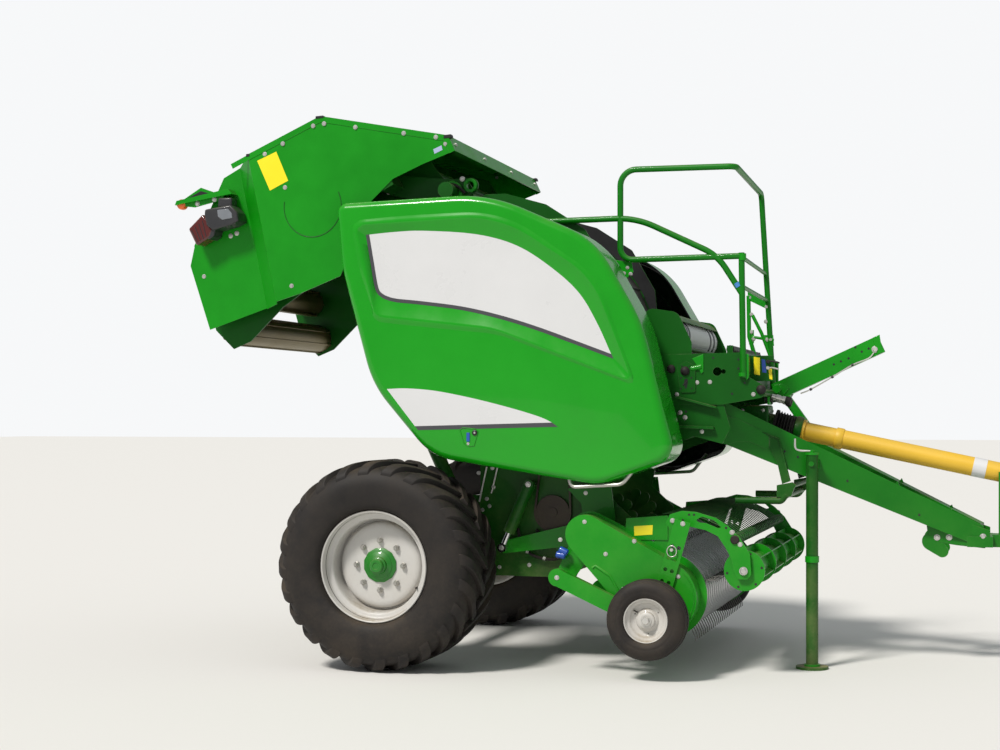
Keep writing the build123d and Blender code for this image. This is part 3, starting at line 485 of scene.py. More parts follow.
def bar_shape(line, radius, sides=10):
    """A round bar in mm radius along a line of places, closed at both ends."""
    rows = []
    across = (line[1] - line[0]).orthogonal().normalized()
    for i, place in enumerate(line):
        heading = (line[min(i + 1, len(line) - 1)] - line[max(i - 1, 0)]).normalized()
        across = (across - heading * across.dot(heading)).normalized()
        level = heading.cross(across)
        turns = [2 * math.pi * k / sides for k in range(sides)]
        rows.append([place + (across * math.cos(turn) + level * math.sin(turn)) * radius / 1000
                     for turn in turns])
    points, faces = woven(rows, closed=False)
    return points, faces + [tuple(range(sides))[::-1],
                            tuple(range(len(points) - sides, len(points)))]


def spun_shape(origin, axis, section, segments=16):
    """A profile of (radius, height) in mm spun about an axis that starts at origin."""
    axis = Vector(axis).normalized()
    across = axis.orthogonal().normalized()
    level = axis.cross(across)
    turns = [2 * math.pi * k / segments for k in range(segments)]
    outs = [across * math.cos(turn) + level * math.sin(turn) for turn in turns]
    return woven([[origin + out * r / 1000 + axis * h / 1000 for r, h in section] for out in outs])


def cross_spun(side, x, y, z, section, segments=24):
    """A profile spun about a cross axis that points to one side, from y mm off the middle."""
    return spun_shape(at(x, side * y, z), (0, side, 0), section, segments)


for side, side_name in SIDES:
    wheel = f"wheel_{side_name}"
    piece_of(f"tyre_carcass_{side_name}", [cross_spun(side, 0, 0, AXLE_Z, carcass_section(), 96)],
             rubber, wheel, "tyre", 50, replaces=f"tyre_{side_name}")
    bar = mesh_of("tread bar", *joined([tread_bar(side, 1), tread_bar(side, -1)]), 40)
    bars = repeated(f"tread_bars_{side_name}", bar, ring_tree, rubber, wheel, "tyre",
                    Centre=at(0, 0, AXLE_Z), Count=LUG_COUNT)
    worn_corners = bars.modifiers.new("worn corners", "BEVEL")
    worn_corners.width = 0.006
    worn_corners.segments = 2
    piece_of(f"rim_face_{side_name}",
             [cross_spun(side, 0, 0, AXLE_Z, section, 96) for section in (RIM_FACE, RIM_BARREL)],
             rim_silver, wheel, sharp=40, replaces=f"rim_{side_name}")
    piece_of(f"hub_cap_{side_name}",
             [cross_spun(side, 0, 0, AXLE_Z, section, segments)
              for section, segments in ((HUB_PLATE, 12), (HUB_NOSE, 48))],
             hub_green, wheel, sharp=40, replaces=f"hub_{side_name}")
    nut = mesh_of("wheel nut", *cross_spun(side, STUD_RADIUS, DISC_FACE, AXLE_Z, NUT, 6))
    repeated(f"wheel_nuts_{side_name}", nut, ring_tree, bare_steel, wheel,
             Centre=at(0, 0, AXLE_Z), Count=STUD_COUNT)
    piece_of(f"tyre_valve_{side_name}",
             [bar_shape([at(232, side * y, 436) for y in (1250, 1268, 1284)], 5)], rubber, wheel,
             "tyre")

# ------------------------------------------------------------------ side doors
# Deep moulded doors, gloss green outside with near black painted shade on their inward faces, with
# a sunk field that carries a white film with a dark edge stripe, and a second white film low down
# at the rear.
door_green = finish_of("moulded door green", colour(14, 148, 14), 0.2, "door_skin", coat=0.35,
                       dust=0.25, low_dust=0.08, variation=0.05, grain=(40.0, 0.2), bump=0.03,
                       shine=0.3, inside_shade=colour(17, 19, 20))
film_white = finish_of("white film", colour(212, 212, 213), 0.3, coat=0.3, dust=0.15, low_dust=0.0,
                       variation=0.02, bump=0.01)
film_grey = finish_of("dark grey film", colour(66, 66, 70), 0.35, coat=0.2, variation=0.04,
                      bump=0.01)
FIELD_TOP = [(-116, 2392), (60, 2404), (230, 2405), (532, 2377), (760, 2310), (946, 2193),
             (1108, 2049), (1211, 1882), (1302, 1684)]
FIELD_LOW = [(1302, 1684), (1080, 1768), (856, 1850), (655, 1912), (451, 1960), (230, 1992),
             (70, 2010)]
FIELD_REAR = [(30, 2018), (-22, 2040), (-60, 2087), (-89, 2239), (-116, 2392)]
LOW_FILM_TOP = [(14, 1527), (130, 1530), (290, 1517), (470, 1484), (643, 1444), (800, 1402),
                (910, 1367), (965, 1341)]
LOW_FILM_FOOT, LOW_STRIPE = (180, 1320), [(965, 1341), (180, 1320), (198, 1298), (1000, 1318)]
# The recess in the door as (x, z, corner radius), clockwise from its top rear corner.
RECESS = [(-176, 2448, 45), (661, 2476, 700), (1188, 2128, 500), (1411, 1561, 18),
          (643, 1855, 700), (-52, 1936, 60)]
RECESS_CORNERS = [(-176, 2448), (1411, 1561), (-52, 1936)]
FILM_CORNERS = [(-116, 2392), (1302, 1684), (-22, 2040)]
DOOR_FACE, RECESS_FLOOR, CREST_WIDTH, STRIPE_WIDTH, FILM_THICKNESS = 1150, 1134, 34, 20, 0.7


def smooth_run(points):
    """The (x, z) of a smooth line through the points."""
    return [(p.x, p.y) for p in curve_through([Vector((x, z, 0)) for x, z in points], 4)]


def beside(points, distance):
    """The same run moved sideways, to the left of its direction."""
    moved = []
    for i, (x, z) in enumerate(points):
        ahead = points[min(i + 1, len(points) - 1)]
        behind = points[max(i - 1, 0)]
        run = math.dist(ahead, behind)
        moved.append((x - (ahead[1] - behind[1]) * distance / run,
                      z + (ahead[0] - behind[0]) * distance / run))
    return moved


def rounded(corners, steps=8):
    """A closed outline with each (x, z, radius) corner rounded."""
    outline = []
    for i, (x, z, radius) in enumerate(corners):
        here = Vector((x, z))
        to_last = (Vector(corners[i - 1][:2]) - here).normalized()
        to_next = (Vector(corners[(i + 1) % len(corners)][:2]) - here).normalized()
        half = to_last.angle(to_next) / 2
        reach = radius / math.tan(half)
        centre = here + (to_last + to_next).normalized() * radius / math.sin(half)
        start, end = here + to_last * reach - centre, here + to_next * reach - centre
        outline += [centre + start.slerp(end, k / steps).normalized() * radius
                    for k in range(steps + 1)]
    return outline


def split_at(outline, corners):
    """A closed outline cut into stretches at its points nearest to the corners."""
    cuts = [min(range(len(outline)), key=lambda i: (outline[i] - Vector(c)).length)
            for c in corners]
    return [[outline[(a + k) % len(outline)] for k in range((b - a) % len(outline) + 1)]
            for a, b in zip(cuts, cuts[1:] + cuts[:1])]


def spaced(line, count=60):
    """Points at equal distances along a line, without its last one."""
    reach = [0.0]
    for a, b in zip(line, line[1:]):
        reach.append(reach[-1] + (b - a).length)
    places, i = [], 0
    for k in range(count):
        want = reach[-1] * k / count
        while reach[i + 1] < want:
            i += 1
        share = (want - reach[i]) / max(reach[i + 1] - reach[i], 1e-9)
        places.append(line[i].lerp(line[i + 1], share))
    return places


def border_shape(side, outer, inner):
    """The rolled crest round the recess and its slope down to the film's edge."""
    def outwards(distance):
        return [p + (p - q).normalized() * distance for p, q in zip(outer, inner)]
    return woven([[at(p.x, side * y, p.y) for p in run] for run, y in (
        (outwards(CREST_WIDTH), DOOR_FACE - 0.4), (outwards(20), DOOR_FACE + 3.4),
        (outwards(7), DOOR_FACE + 7.4), (outwards(-2), DOOR_FACE + 7.8),
        (outwards(-10), DOOR_FACE + 5), (inner, RECESS_FLOOR + 1.8), (inner, RECESS_FLOOR + 0.1),
        (outer, RECESS_FLOOR + 0.1), (outwards(CREST_WIDTH), DOOR_FACE - 4))])


top_run, low_run, rear_run = smooth_run(FIELD_TOP), smooth_run(FIELD_LOW), smooth_run(FIELD_REAR)
stripe_run = low_run + rear_run
field = top_run[:-1] + low_run[:-1] + rear_run[:-1]
outer_edge = [p for run in split_at(rounded(RECESS), RECESS_CORNERS) for p in spaced(run)]
inner_edge = [p for run in split_at([Vector(p) for p in field], FILM_CORNERS) for p in spaced(run)]


def prism_shape(corners, y_low, y_high):
    """A plate of (x, z) corners in mm between two distances from the machine's middle."""
    count = len(corners)
    points, faces = woven([[at(x, y, z) for x, z in corners] for y in (y_low, y_high)], False)
    return points, [tuple(range(count))[::-1], tuple(range(count, 2 * count))] + faces


for side, side_name in SIDES:
    door = f"side_door_{side_name}"
    set_finish(f"door_{side_name}", door_green)
    set_finish(f"door_handle_{side_name}", bare_steel)
    piece_of(f"recess_border_{side_name}", [border_shape(side, outer_edge, inner_edge)],
             door_green, door, sharp=60)
    for name, outline, material, y in (
            ("door_film", field, film_white, RECESS_FLOOR + 0.8),
            ("door_stripe", stripe_run + beside(stripe_run, -STRIPE_WIDTH)[::-1], film_grey,
             RECESS_FLOOR + 1.8),
            ("low_film", smooth_run(LOW_FILM_TOP) + [LOW_FILM_FOOT], film_white, DOOR_FACE - 0.3),
            ("low_stripe", LOW_STRIPE, film_grey, DOOR_FACE + 0.1)):
        piece_of(f"{name}_{side_name}",
                 [prism_shape(outline, side * y, side * (y + FILM_THICKNESS))],
                 material, door, "door_skin")

# ------------------------------------------------------------------ tailgate sheets
# Side panels bolted along a folded edge strip, with moulded caps on the hood's corners. A blank
# yellow plate and a small pale one are stuck on; an access disc is pressed into each panel, and the
# shade under its lower edge is painted as a dark green line.
# Black for caps, clips and rings; the same black is painted shade in holes and recesses.
black_caps_and_hole_shade = finish_of("black caps and painted hole shade", colour(20, 20, 22), 0.45, "black_plastic", dust=0.3)
plate_yellow = finish_of("yellow plate", colour(246, 226, 20), 0.4, coat=0.2, variation=0.03,
                         dust=0.15, bump=0.01)
plate_pale = finish_of("pale plate", colour(170, 182, 214), 0.4, variation=0.03, bump=0.01)
zinc = finish_of("zinc plated fastener", colour(206, 204, 200), 0.35, "bare_steel", metallic=0.75,
                 dust=0.2, bump=0.02)
shadow_line = finish_of("painted shade of the pressed disc's edge", colour(8, 70, 12), 0.5, "green_paint", bump=0.01)
GATE_BOLTS = [(-515, 3054), (-447, 3064), (-254, 3034), (40, 2986), (233, 2955), (-705, 2960)]
PANEL_BOLTS = [(290, 2915), (-820, 2905), (-692, 2705), (-651, 2132)]
GATE_PLATE = [(-868, 2867), (-747, 2916), (-672, 2744), (-787, 2690)]
PALE_PLATE = [(217, 2887), (266, 2907), (272, 2881), (224, 2861)]
HOOD_CAPS = ((-474, 3103, 26, 9), (303, 2956, 24, 12), (-926, 2902, 12, 10))
PANEL_Y, STEP_Y, PLATE_THICKNESS = 940, 790, 1.2
# A bolt's head and washer as shares of its radius.
BOLT_HEAD = [(0, -1), (1.35, -1), (1.35, 0.12), (0.98, 0.16), (0.98, 0.5), (0.78, 0.68), (0, 0.72)]


def scaled(section, size):
    """A profile made larger or smaller."""
    return [(r * size, h * size) for r, h in section]


def screw_shape(x, y, z, axis, radius):
    """A bolt head with its washer, standing out along an axis."""
    return spun_shape(at(x, y, z), axis, scaled(BOLT_HEAD, radius), 12)


def bolt_shapes(places, radius, side=0):
    """Bolt heads at (x, y, z); each stands out to its own side of the machine."""
    return [screw_shape(x, y, z, (0, side or math.copysign(1, y), 0), radius) for x, y, z in places]


def bolted(name, places, radius, body="chassis"):
    """One zinc plated piece of bolt heads."""
    piece_of(name, bolt_shapes(places, radius), zinc, body)


def both_sides(places, y=None):
    """Places on the right and their mirror images; (x, z) places take the y given with them."""
    if y is not None:
        places = [(x, y, z) for x, z in places]
    return list(places) + [(x, -y, z) for x, y, z in places]


bolted("tailgate_bolts", both_sides(GATE_BOLTS, -PANEL_Y - 3) + both_sides(PANEL_BOLTS, -PANEL_Y)
       + both_sides([(-1283, 2213)], -STEP_Y), 10, "tailgate")
piece_of("hood_step_sheet",
         [prism_shape([(-926, 2905), (-1036, 2855), (-1034, 2851), (-924, 2901)], -788, 788)],
         green_paint, "tailgate")
piece_of("hood_lip_screws", [screw_shape(326, y, 2921, (0.906, 0, 0.423), 9)
                             for y in (-860, -290, 290, 860)], zinc, "tailgate")


def polar(x, z, radius, degrees):
    """The (x, z) at an angle round a cross axis."""
    return (x + radius * math.cos(math.radians(degrees)),
            z + radius * math.sin(math.radians(degrees)))


def arc(x, y, z, radius, degrees):
    """Places round a cross axis at the given angles."""
    return [at(px, y, pz) for px, pz in (polar(x, z, radius, a) for a in degrees)]


for side, side_name in SIDES:
    face = side * PANEL_Y
    for name, corners, material in (("yellow", GATE_PLATE, plate_yellow),
                                    ("pale", PALE_PLATE, plate_pale)):
        piece_of(f"gate_{name}_plate_{side_name}",
                 [prism_shape(corners, face, face + side * PLATE_THICKNESS)], material, "tailgate")
    # Painted shade: a dark green line round the pressed disc's lower arc stands for the shade under
    # its edge.
    disc_line = arc(-520, face + side * 0.6, 2590, 178, range(170, 392, 6))
    piece_of(f"pressed_disc_shade_{side_name}", [bar_shape(disc_line, 2.2, 6)], shadow_line, "tailgate",
             sharp=80)
    caps = [prism_shape([(x - w, z - h), (x + w, z - h * 0.6), (x + w * 0.8, z + h),
                         (x - w, z + h * 0.7)], side * 905, face + side * 6)
            for x, z, w, h in HOOD_CAPS]
    piece_of(f"hood_caps_{side_name}", caps, black_caps_and_hole_shade, "tailgate", rolled=3)

# ------------------------------------------------------------------ tail lamps
# A black moulded housing with a clear window in its outer side, a red lens to the rear, a sheet
# bracket over it and a round amber marker at the bracket's end.
lens_red = finish_of("red lens", colour(86, 20, 14), 0.18, coat=0.7, dust=0.35, bump=0.02,
                     grain=(400.0, 0.6))
lens_clear = finish_of("clear window", colour(120, 124, 130), 0.12, coat=0.8, variation=0.2,
                       bump=0.02)
lens_amber = finish_of("amber marker", colour(242, 104, 8), 0.25, coat=0.5, variation=0.1,
                       bump=0.05, grain=(500.0, 0.6))
lamp_black = finish_of("lamp housing", colour(44, 44, 47), 0.4, "black_plastic", coat=0.15,
                       dust=0.4)
HOUSING = [(-1220, 2564), (-1217, 2598), (-1050, 2620), (-1008, 2575), (-999, 2523), (-1050, 2500),
           (-1163, 2474), (-1205, 2500)]
HOUSING_REAR = [(-1250, 2470), (-1190, 2560), (-1140, 2540), (-1165, 2440), (-1200, 2420)]
WINDOW = [(-1134, 2592), (-1065, 2597), (-1040, 2570), (-1036, 2541), (-1102, 2532), (-1130, 2552)]
LENS = [(-1332, 2488), (-1238, 2574), (-1205, 2536), (-1173, 2476), (-1189, 2435), (-1279, 2386)]
MARKER_ARM = [(-1392, 2663), (-1269, 2736), (-1119, 2683), (-1135, 2657), (-1307, 2619),
              (-1389, 2629)]
# The bracket's pressed recess is a thin black plate of painted shade.
ARM_RECESS_SHADE = [(x * 0.9 - 127, z * 0.72 + 745) for x, z in MARKER_ARM[:3]]
ARM_RECESS_SHADE += [(-1210, 2668), (-1310, 2652)]
MARKER = [(0, -20), (31, -20), (31, 6), (27, 13), (14, 18), (0, 19)]
LENS_RIBS = [((-1310 + 24 * k, 2478 + 18 * k), (-1268 + 18 * k, 2402 + 12 * k)) for k in range(4)]


def brick_shape(x, y, z):
    """A block from its (low, high) pairs in mm."""
    return prism_shape([(x[0], z[0]), (x[1], z[0]), (x[1], z[1]), (x[0], z[1])], *y)


for side, side_name in SIDES:
    piece_of(f"lamp_housing_{side_name}",
             [prism_shape(HOUSING, side * STEP_Y, side * 918),
              prism_shape(HOUSING_REAR, side * (STEP_Y - 4), side * 900),
              brick_shape((-1150, -1060), (side * 800, side * 880), (2610, 2668))],
             lamp_black, "tailgate", rolled=9, replaces="tail_lamps" if side < 0 else None)
    for name, corners, y_low, y_high, material, rolled in (
            ("lamp_window", WINDOW, 912, 922, lens_clear, 3),
            ("lamp_lens", LENS, 792, 903, lens_red, 12),
            ("marker_bracket", MARKER_ARM, 856, 862, green_paint, 1.5),
            ("marker_recess_shade", ARM_RECESS_SHADE, 862, 863, black_caps_and_hole_shade, 0)):
        piece_of(f"{name}_{side_name}", [prism_shape(corners, side * y_low, side * y_high)],
                 material, "tailgate", rolled=rolled)
    piece_of(f"lens_ribs_{side_name}",
             [bar_shape([at(x, side * 903, z) for x, z in ends], 2.5, 6) for ends in LENS_RIBS],
             lamp_black, "tailgate")
    piece_of(f"side_marker_{side_name}", [cross_spun(side, -1398, 850, 2641, MARKER)], lens_amber,
             "tailgate")
    bolted(f"lamp_bolts_{side_name}",
           [(-1068, side * STEP_Y, 2465), (-1108, side * STEP_Y, 2450),
            (-1290, side * 862, 2640), (-1180, side * 862, 2662)], 11, "tailgate")

# ------------------------------------------------------------------ tailgate arms
# Each arm ends in a bushed eye above its pivot. A collar holds the pivot pin, and a short rubber
# line is led over it.
ARM_EYE = [(22, -14), (40, -14), (40, 16), (37, 19), (26, 19), (22, 16)]
PIVOT_COLLAR = [(47, -2), (66, -2), (66, 26), (62, 30), (47, 30)]
PIVOT_LINE = [(352, 776, 2655), (318, 800, 2690), (268, 806, 2702), (222, 796, 2676),
              (205, 775, 2630), (200, 772, 2560)]
for side, side_name in SIDES:
    piece_of(f"arm_eye_{side_name}", [cross_spun(side, 381, 752, 2699, ARM_EYE, 32)], green_paint,
             "tailgate")
    piece_of(f"pivot_collar_{side_name}", [cross_spun(side, 270, 752, 2663, PIVOT_COLLAR, 40)],
             green_paint, "tailgate")
    line = curve_through([at(x, side * y, z) for x, y, z in PIVOT_LINE], 6)
    piece_of(f"pivot_line_{side_name}", [bar_shape(line, 9)], rubber, "tailgate", sharp=80)
bolted("arm_bolts", both_sides([(180, 2600), (130, 2520), (330, 2740)], -755)
       + both_sides([(-150, 2690), (60, 2720)], -670), 11, "tailgate")

# ------------------------------------------------------------------ door latches
# A shield-shaped latch plate at the foot of each door, with a blue slide, a barrel lock in a black
# ring and one small screw.
plate_blue = finish_of("blue plate", colour(34, 78, 170), 0.4, coat=0.2, variation=0.03, bump=0.01)
LATCH = [(442, 1299), (466, 1226), (490, 1209), (524, 1212), (548, 1290), (530, 1306), (458, 1312)]
SLIDE = [(481, 1236), (499, 1236), (499, 1285), (481, 1285)]
LOCK_RING = [(0, 0), (15, 0), (15, 5), (12, 7), (0, 7)]
for side, side_name in SIDES:
    door, face = f"side_door_{side_name}", side * DOOR_FACE
    shield = [at(x, face + side * 0.8, z) for x, z in LATCH]
    piece_of(f"latch_edge_{side_name}", [bar_shape(shield + shield[:1], 2.6, 8)], green_paint, door,
             sharp=80)
    piece_of(f"latch_slide_{side_name}", [prism_shape(SLIDE, face, face + side * 5)], plate_blue,
             door, rolled=1)
    piece_of(f"latch_ring_{side_name}", [cross_spun(side, 528, DOOR_FACE, 1284, LOCK_RING)],
             black_caps_and_hole_shade, door)
    bolted(f"latch_screws_{side_name}", [(528, face + side * 6, 1284), (489, face, 1224)], 6, door)

# ------------------------------------------------------------------ front platform
# Pressed plates with a latch plate at each side, rubber buffers, a row of valve taps under blank
# plates, and the oil couplings that hang below them.
PLATE_FACE, LATCH_FACE, TAP_FACE = 658, 666, 498
LATCH_BOLTS = [(1699, 1656), (1674, 1564), (1746, 1566), (1988, 1497), (1560, 1497), (1300, 1660),
               (1300, 1500)]
BUFFER = [(0, -2), (26, -2), (26, 4), (22, 12), (12, 19), (0, 21)]
KEYHOLE = [(1608, 1530), (1616, 1530), (1624, 1560), (1622, 1584), (1606, 1584), (1602, 1560)]
# Pressed and drilled holes as (x, distance from the middle, z, radius), drawn as black discs of
# painted shade.
PLATE_HOLES = [(x, LATCH_FACE, z, radius) for x, z, radius in
               ((1586, 1590, 5), (1644, 1590, 5), (1584, 1530, 5), (1646, 1530, 5),
                (1590, 1655, 4), (1632, 1655, 4))]
PLATE_HOLES += [(x, PLATE_FACE, z, radius) for x, z, radius in
                ((1440, 1560, 6), (1870, 1500, 7), (1905, 1690, 6), (1905, 1640, 6),
                 (1765, 1700, 6), (1940, 1560, 5))]
buffers, holes, stubs = [], [], []


def rod(radius, end, start=0):
    """The profile of a plain rod."""
    return [(0, start), (radius, start), (radius, end), (0, end)]


for side, _ in SIDES:
    buffers += [cross_spun(side, x, y, z, scaled(BUFFER, size))
                for x, y, z, size in ((1608, LATCH_FACE, 1628, 1.0), (1528, PLATE_FACE, 1640, 0.92),
                                      (2031, PLATE_FACE, 1522, 1.04))]
    # The keyhole and its slot are black shapes of painted shade.
    holes.append(prism_shape(KEYHOLE, side * LATCH_FACE, side * (LATCH_FACE + 0.8)))
    holes.append(bar_shape([at(1622, side * (LATCH_FACE + 1), 1572),
                            at(1596, side * (LATCH_FACE + 1), 1548)], 3, 6))
    holes += [cross_spun(side, x, y, z, rod(r, 0.7, -1), 12) for x, y, z, r in PLATE_HOLES]
    stubs.append(spun_shape(at(1640, side * PLATE_FACE, 1640), (1, 0, 0.2), rod(15, 62)))
piece_of("platform_buffers", buffers, rubber)
piece_of("platform_holes", holes, black_caps_and_hole_shade)
bolted("platform_bolts", both_sides(LATCH_BOLTS, -PLATE_FACE), 9)


def twin_prisms(corners, y_low, y_high):
    """The same plate on both sides of the machine."""
    return [prism_shape(corners, side * y_low, side * y_high) for side, _ in SIDES]


piece_of("platform_gussets",
         twin_prisms([(1646, 1698), (1711, 1722), (1711, 1623), (1698, 1612), (1680, 1650)],
                     PLATE_FACE, PLATE_FACE + 7)
         + twin_prisms([(1946, 1722), (1964, 1718), (1964, 1590), (1955, 1576), (1946, 1584)],
                       640, 672) + stubs, green_paint, rolled=2)
piece_of("tap_panel", [brick_shape((1946, 2080), (-TAP_FACE, -494), (1572, 1716)),
                       brick_shape((1946, 1952), (-660, -494), (1572, 1716))], shaded_dusty_green_paint,
         rolled=1)
for name, material, corners in (
        ("yellow", plate_yellow, [(1968, 1710), (2003, 1704), (2003, 1606), (1971, 1611)]),
        ("blue", plate_blue, [(2012, 1697), (2032, 1693), (2040, 1618), (2016, 1622)]),
        ("low_yellow", plate_yellow, [(2050, 1652), (2068, 1650), (2073, 1580), (2056, 1584)])):
    piece_of(f"blank_plate_{name}", [prism_shape(corners, -TAP_FACE, -TAP_FACE - PLATE_THICKNESS)],
             material)
TAP = [(0, 0), (11, 0), (11, 22), (8, 26), (0, 26)]
for name, material, z, reach in (("black_tap", black_caps_and_hole_shade, 1681, 66),
                                 ("silver_tap", zinc, 1645, 62)):
    lever = [at(2050, -520, z), at(2074, -528, z + 2), at(2050 + reach, -530, z - 8)]
    piece_of(name, [cross_spun(-1, 2050, 500, z, TAP, 16), bar_shape(lever, 5)], material)
COUPLING = [(0, 0), (13, 0), (13, 22), (17, 24), (17, 46), (15, 48), (15, 60), (18, 62), (18, 84),
            (12, 90), (0, 90)]
COUPLING_CAP = [(0, 0), (21, 0), (23, 6), (23, 26), (18, 32), (0, 32)]
couplings, coupling_caps = [], []
for y, drop in ((-350, 0), (-300, 12)):
    couplings.append(spun_shape(at(2052, y, 1490 - drop), (1, 0, -0.28), COUPLING))
    coupling_caps += [spun_shape(at(2128, y, 1468 - drop), (1, 0, -0.28), COUPLING_CAP),
                      spun_shape(at(2010, y, 1478 - drop), (1, 0, -0.05), rod(20, 40))]
piece_of("silver_couplings", couplings, zinc)
piece_of("coupling_caps", coupling_caps, rubber)
piece_of("coupling_holder", [brick_shape((2030, 2042), (-385, -265), (1440, 1520))], green_paint,
         rolled=2)

# ------------------------------------------------------------------ net rolls and ladder rails
# The net has darker turns near its ends and stands between two cheeks. Ladder brackets with
# screws tie the far rail post to the platform, and a blue clip sits on a rail.
net_white = finish_of("net", colour(226, 228, 230), 0.6, variation=0.04)
net_dark = finish_of("net's dark turns", colour(74, 76, 84), 0.55, "net", variation=0.1)
black_plastic = finish_of("black moulding", colour(28, 28, 29), 0.5, dust=0.4, grain=(300.0, 0.4))
clip_blue = finish_of("blue clip", colour(70, 130, 200), 0.4, variation=0.05)
set_finish("net_roll", net_white)
set_finish("net_feed_roller", black_plastic)


def tube(inner, outer, end, start=0):
    """The profile of a plain tube."""
    return [(inner, start), (outer, start), (outer, end), (inner, end)]


piece_of("net_dark_turns",
         [spun_shape(at(1478, y, 1836), (0, 1, 0), tube(102, 107.5, half, -half), 64)
          for y, half in ((-375, 20), (-505, 22), (375, 20), (505, 22), (-440, 8))], net_dark)
CHEEK = [(1123, 2059), (1194, 2047), (1323, 2008), (1360, 1943), (1323, 1902), (1408, 1779),
         (1340, 1760), (1180, 1900)]
piece_of("net_hood_cheeks", twin_prisms(CHEEK, 622, 628), green_paint, rolled=1.5)
POST_Y, RAIL_Y = 300, -675
POST_PLATES = [[(1819, 2155), (1945, 2091), (1950, 2020), (1824, 2083)],
               [(1829, 1900), (1859, 1900), (1859, 1819), (1829, 1812)],
               [(1920, 1869), (1976, 1868), (1981, 1802), (1925, 1797)]]
POST_STRUTS = [([(1826, 2110), (1830, 1860), (1868, 1730)], 13),
               ([(1850, 1990), (1905, 1880), (1960, 1735)], 11), ([(1846, 1858), (1980, 1836)], 9)]
POST_BOLTS = [(1842, 1995), (1933, 1950), (1842, 1888), (1856, 1845), (1937, 1840), (1960, 1840),
              (1830, 2098), (1938, 2040)]
piece_of("rail_brackets", [prism_shape(corners, POST_Y, POST_Y + 8) for corners in POST_PLATES]
         + [bar_shape([at(x, POST_Y + 4, z) for x, z in strut], radius)
            for strut, radius in POST_STRUTS], green_paint, rolled=1.5)
piece_of("rail_bolts", bolt_shapes([(x, POST_Y, z) for x, z in POST_BOLTS], 10, -1), zinc)
piece_of("rail_clip",
         [spun_shape(at(1896, RAIL_Y, 2112), (0.5, 0, -0.86), tube(17.4, 19.5, 26), 24)], clip_blue)
piece_of("rail_welds", [spun_shape(at(1930, RAIL_Y, z), (0, 0, 1), rod(21, half, -half), 24)
                        for z, half in ((1606, 10), (2256, 19))], green_paint, sharp=60)

# ------------------------------------------------------------------ rollers, chain and rams
# The chamber's steel rollers are polished by straw, the roller chain is oiled, and the rams have
# chromed rods and plain steel pins.
roller_steel = finish_of("polished roller steel", colour(120, 108, 70), 0.4, metallic=0.6, dust=0.8)
chain_steel = finish_of("oiled chain", colour(58, 50, 44), 0.45, metallic=0.5, dust=0.5)
chrome = finish_of("chromed rod", colour(210, 210, 212), 0.12, metallic=1.0, variation=0.03)
for node, material in {
        "front_rollers": roller_steel, "tailgate_rollers": roller_steel, "drive_chain": chain_steel,
        "gate_ram_rod_left": chrome, "gate_ram_rod_right": chrome, "pickup_ram_rod": chrome,
        "ram_pins": bare_steel}.items():
    set_finish(node, material)

# ------------------------------------------------------------------ drawbar and hose arm
# Welded box beams with the holes and bolts of their fittings, and plates under the nose. The hose
# arm has a pin at its tip, rows of clip holes and a bent wire under it.
WALL_FACE = 650
BEAM_FOOT_X, BEAM_FOOT_Y, BEAM_HALF = 1790, 420, 46.5
BEAM_TIP_X, BEAM_TIP_Y = 3200, 105
BEAM_SLOPE = (BEAM_TIP_Y - BEAM_FOOT_Y) / (BEAM_TIP_X - BEAM_FOOT_X)


def beam_face(x, lift=0):
    """The y of the right beam's outer face, which nears the middle towards the hitch."""
    return -(BEAM_FOOT_Y + (x - BEAM_FOOT_X) * BEAM_SLOPE + BEAM_HALF + lift)


BEAM_HOLES = [(2127, 1176), (2199, 1145), (2470, 1010), (2860, 820)]
HITCH_PLATE = [(2896, 780), (2905, 706), (2950, 664), (3065, 648), (3217, 634), (3244, 690),
               (3244, 735), (3082, 790)]
BEAM_TABS = [[(2716, 980), (2742, 1010), (2764, 958)], [(3004, 842), (3030, 862), (3046, 820)]]
ARM_FACE = -180
ARM_HOLES = [(2504, 1769), (2540, 1744), (2579, 1761), (2423, 1689), (2466, 1706), (2383, 1672)]
ARM_WIRE = [(2195, 1514), (2253, 1538), (2375, 1608), (2488, 1676), (2576, 1712), (2608, 1745)]
piece_of("beam_bolts", bolt_shapes(both_sides([(1747, beam_face(1747, 8), 1370)]), 18)
         + bolt_shapes(both_sides([(1605, 1368), (1577, 1395), (1715, 1477)], -WALL_FACE), 10),
         zinc)


def hole_shapes(places, radius):
    """Black discs of painted shade for the mouths of bored holes in a face square to the cross
    axis.
    """
    return [spun_shape(at(x, y, z), (0, math.copysign(1, y), 0), rod(radius, 0.6, -1), 14)
            for x, y, z in places]


piece_of("beam_holes", hole_shapes(both_sides([(x, beam_face(x), z) for x, z in BEAM_HOLES]
                                              + [(1611, -WALL_FACE - 0.5, 1401)]), 7), black_caps_and_hole_shade)
piece_of("hitch_plates", twin_prisms(HITCH_PLATE, 150, 163), half_shaded_green_paint, rolled=3)
piece_of("beam_tabs", [shape for tab in BEAM_TABS
                       for shape in twin_prisms(tab, -beam_face(tab[1][0], -40),
                                                -beam_face(tab[1][0], -28))], half_shaded_green_paint)
piece_of("hitch_bracket_bolts",
         bolt_shapes(both_sides([(2956, 690), (3022, 692), (3206, 700)], -163), 13)
         + [screw_shape(x, y, 701, (0, 0, 1), 11) for x in (3150, 3225) for y in (-140, 140)], zinc)
piece_of("arm_holes", hole_shapes([(x, ARM_FACE, z) for x, z in ARM_HOLES], 6.5), black_caps_and_hole_shade)
wire_line = [at(x, ARM_FACE - 6, z - 8) for x, z in ARM_WIRE]
piece_of("arm_pin", bolt_shapes([(2615, ARM_FACE, 1757)], 15, -1)
         + [bar_shape(curve_through(wire_line, 5), 4)], zinc)
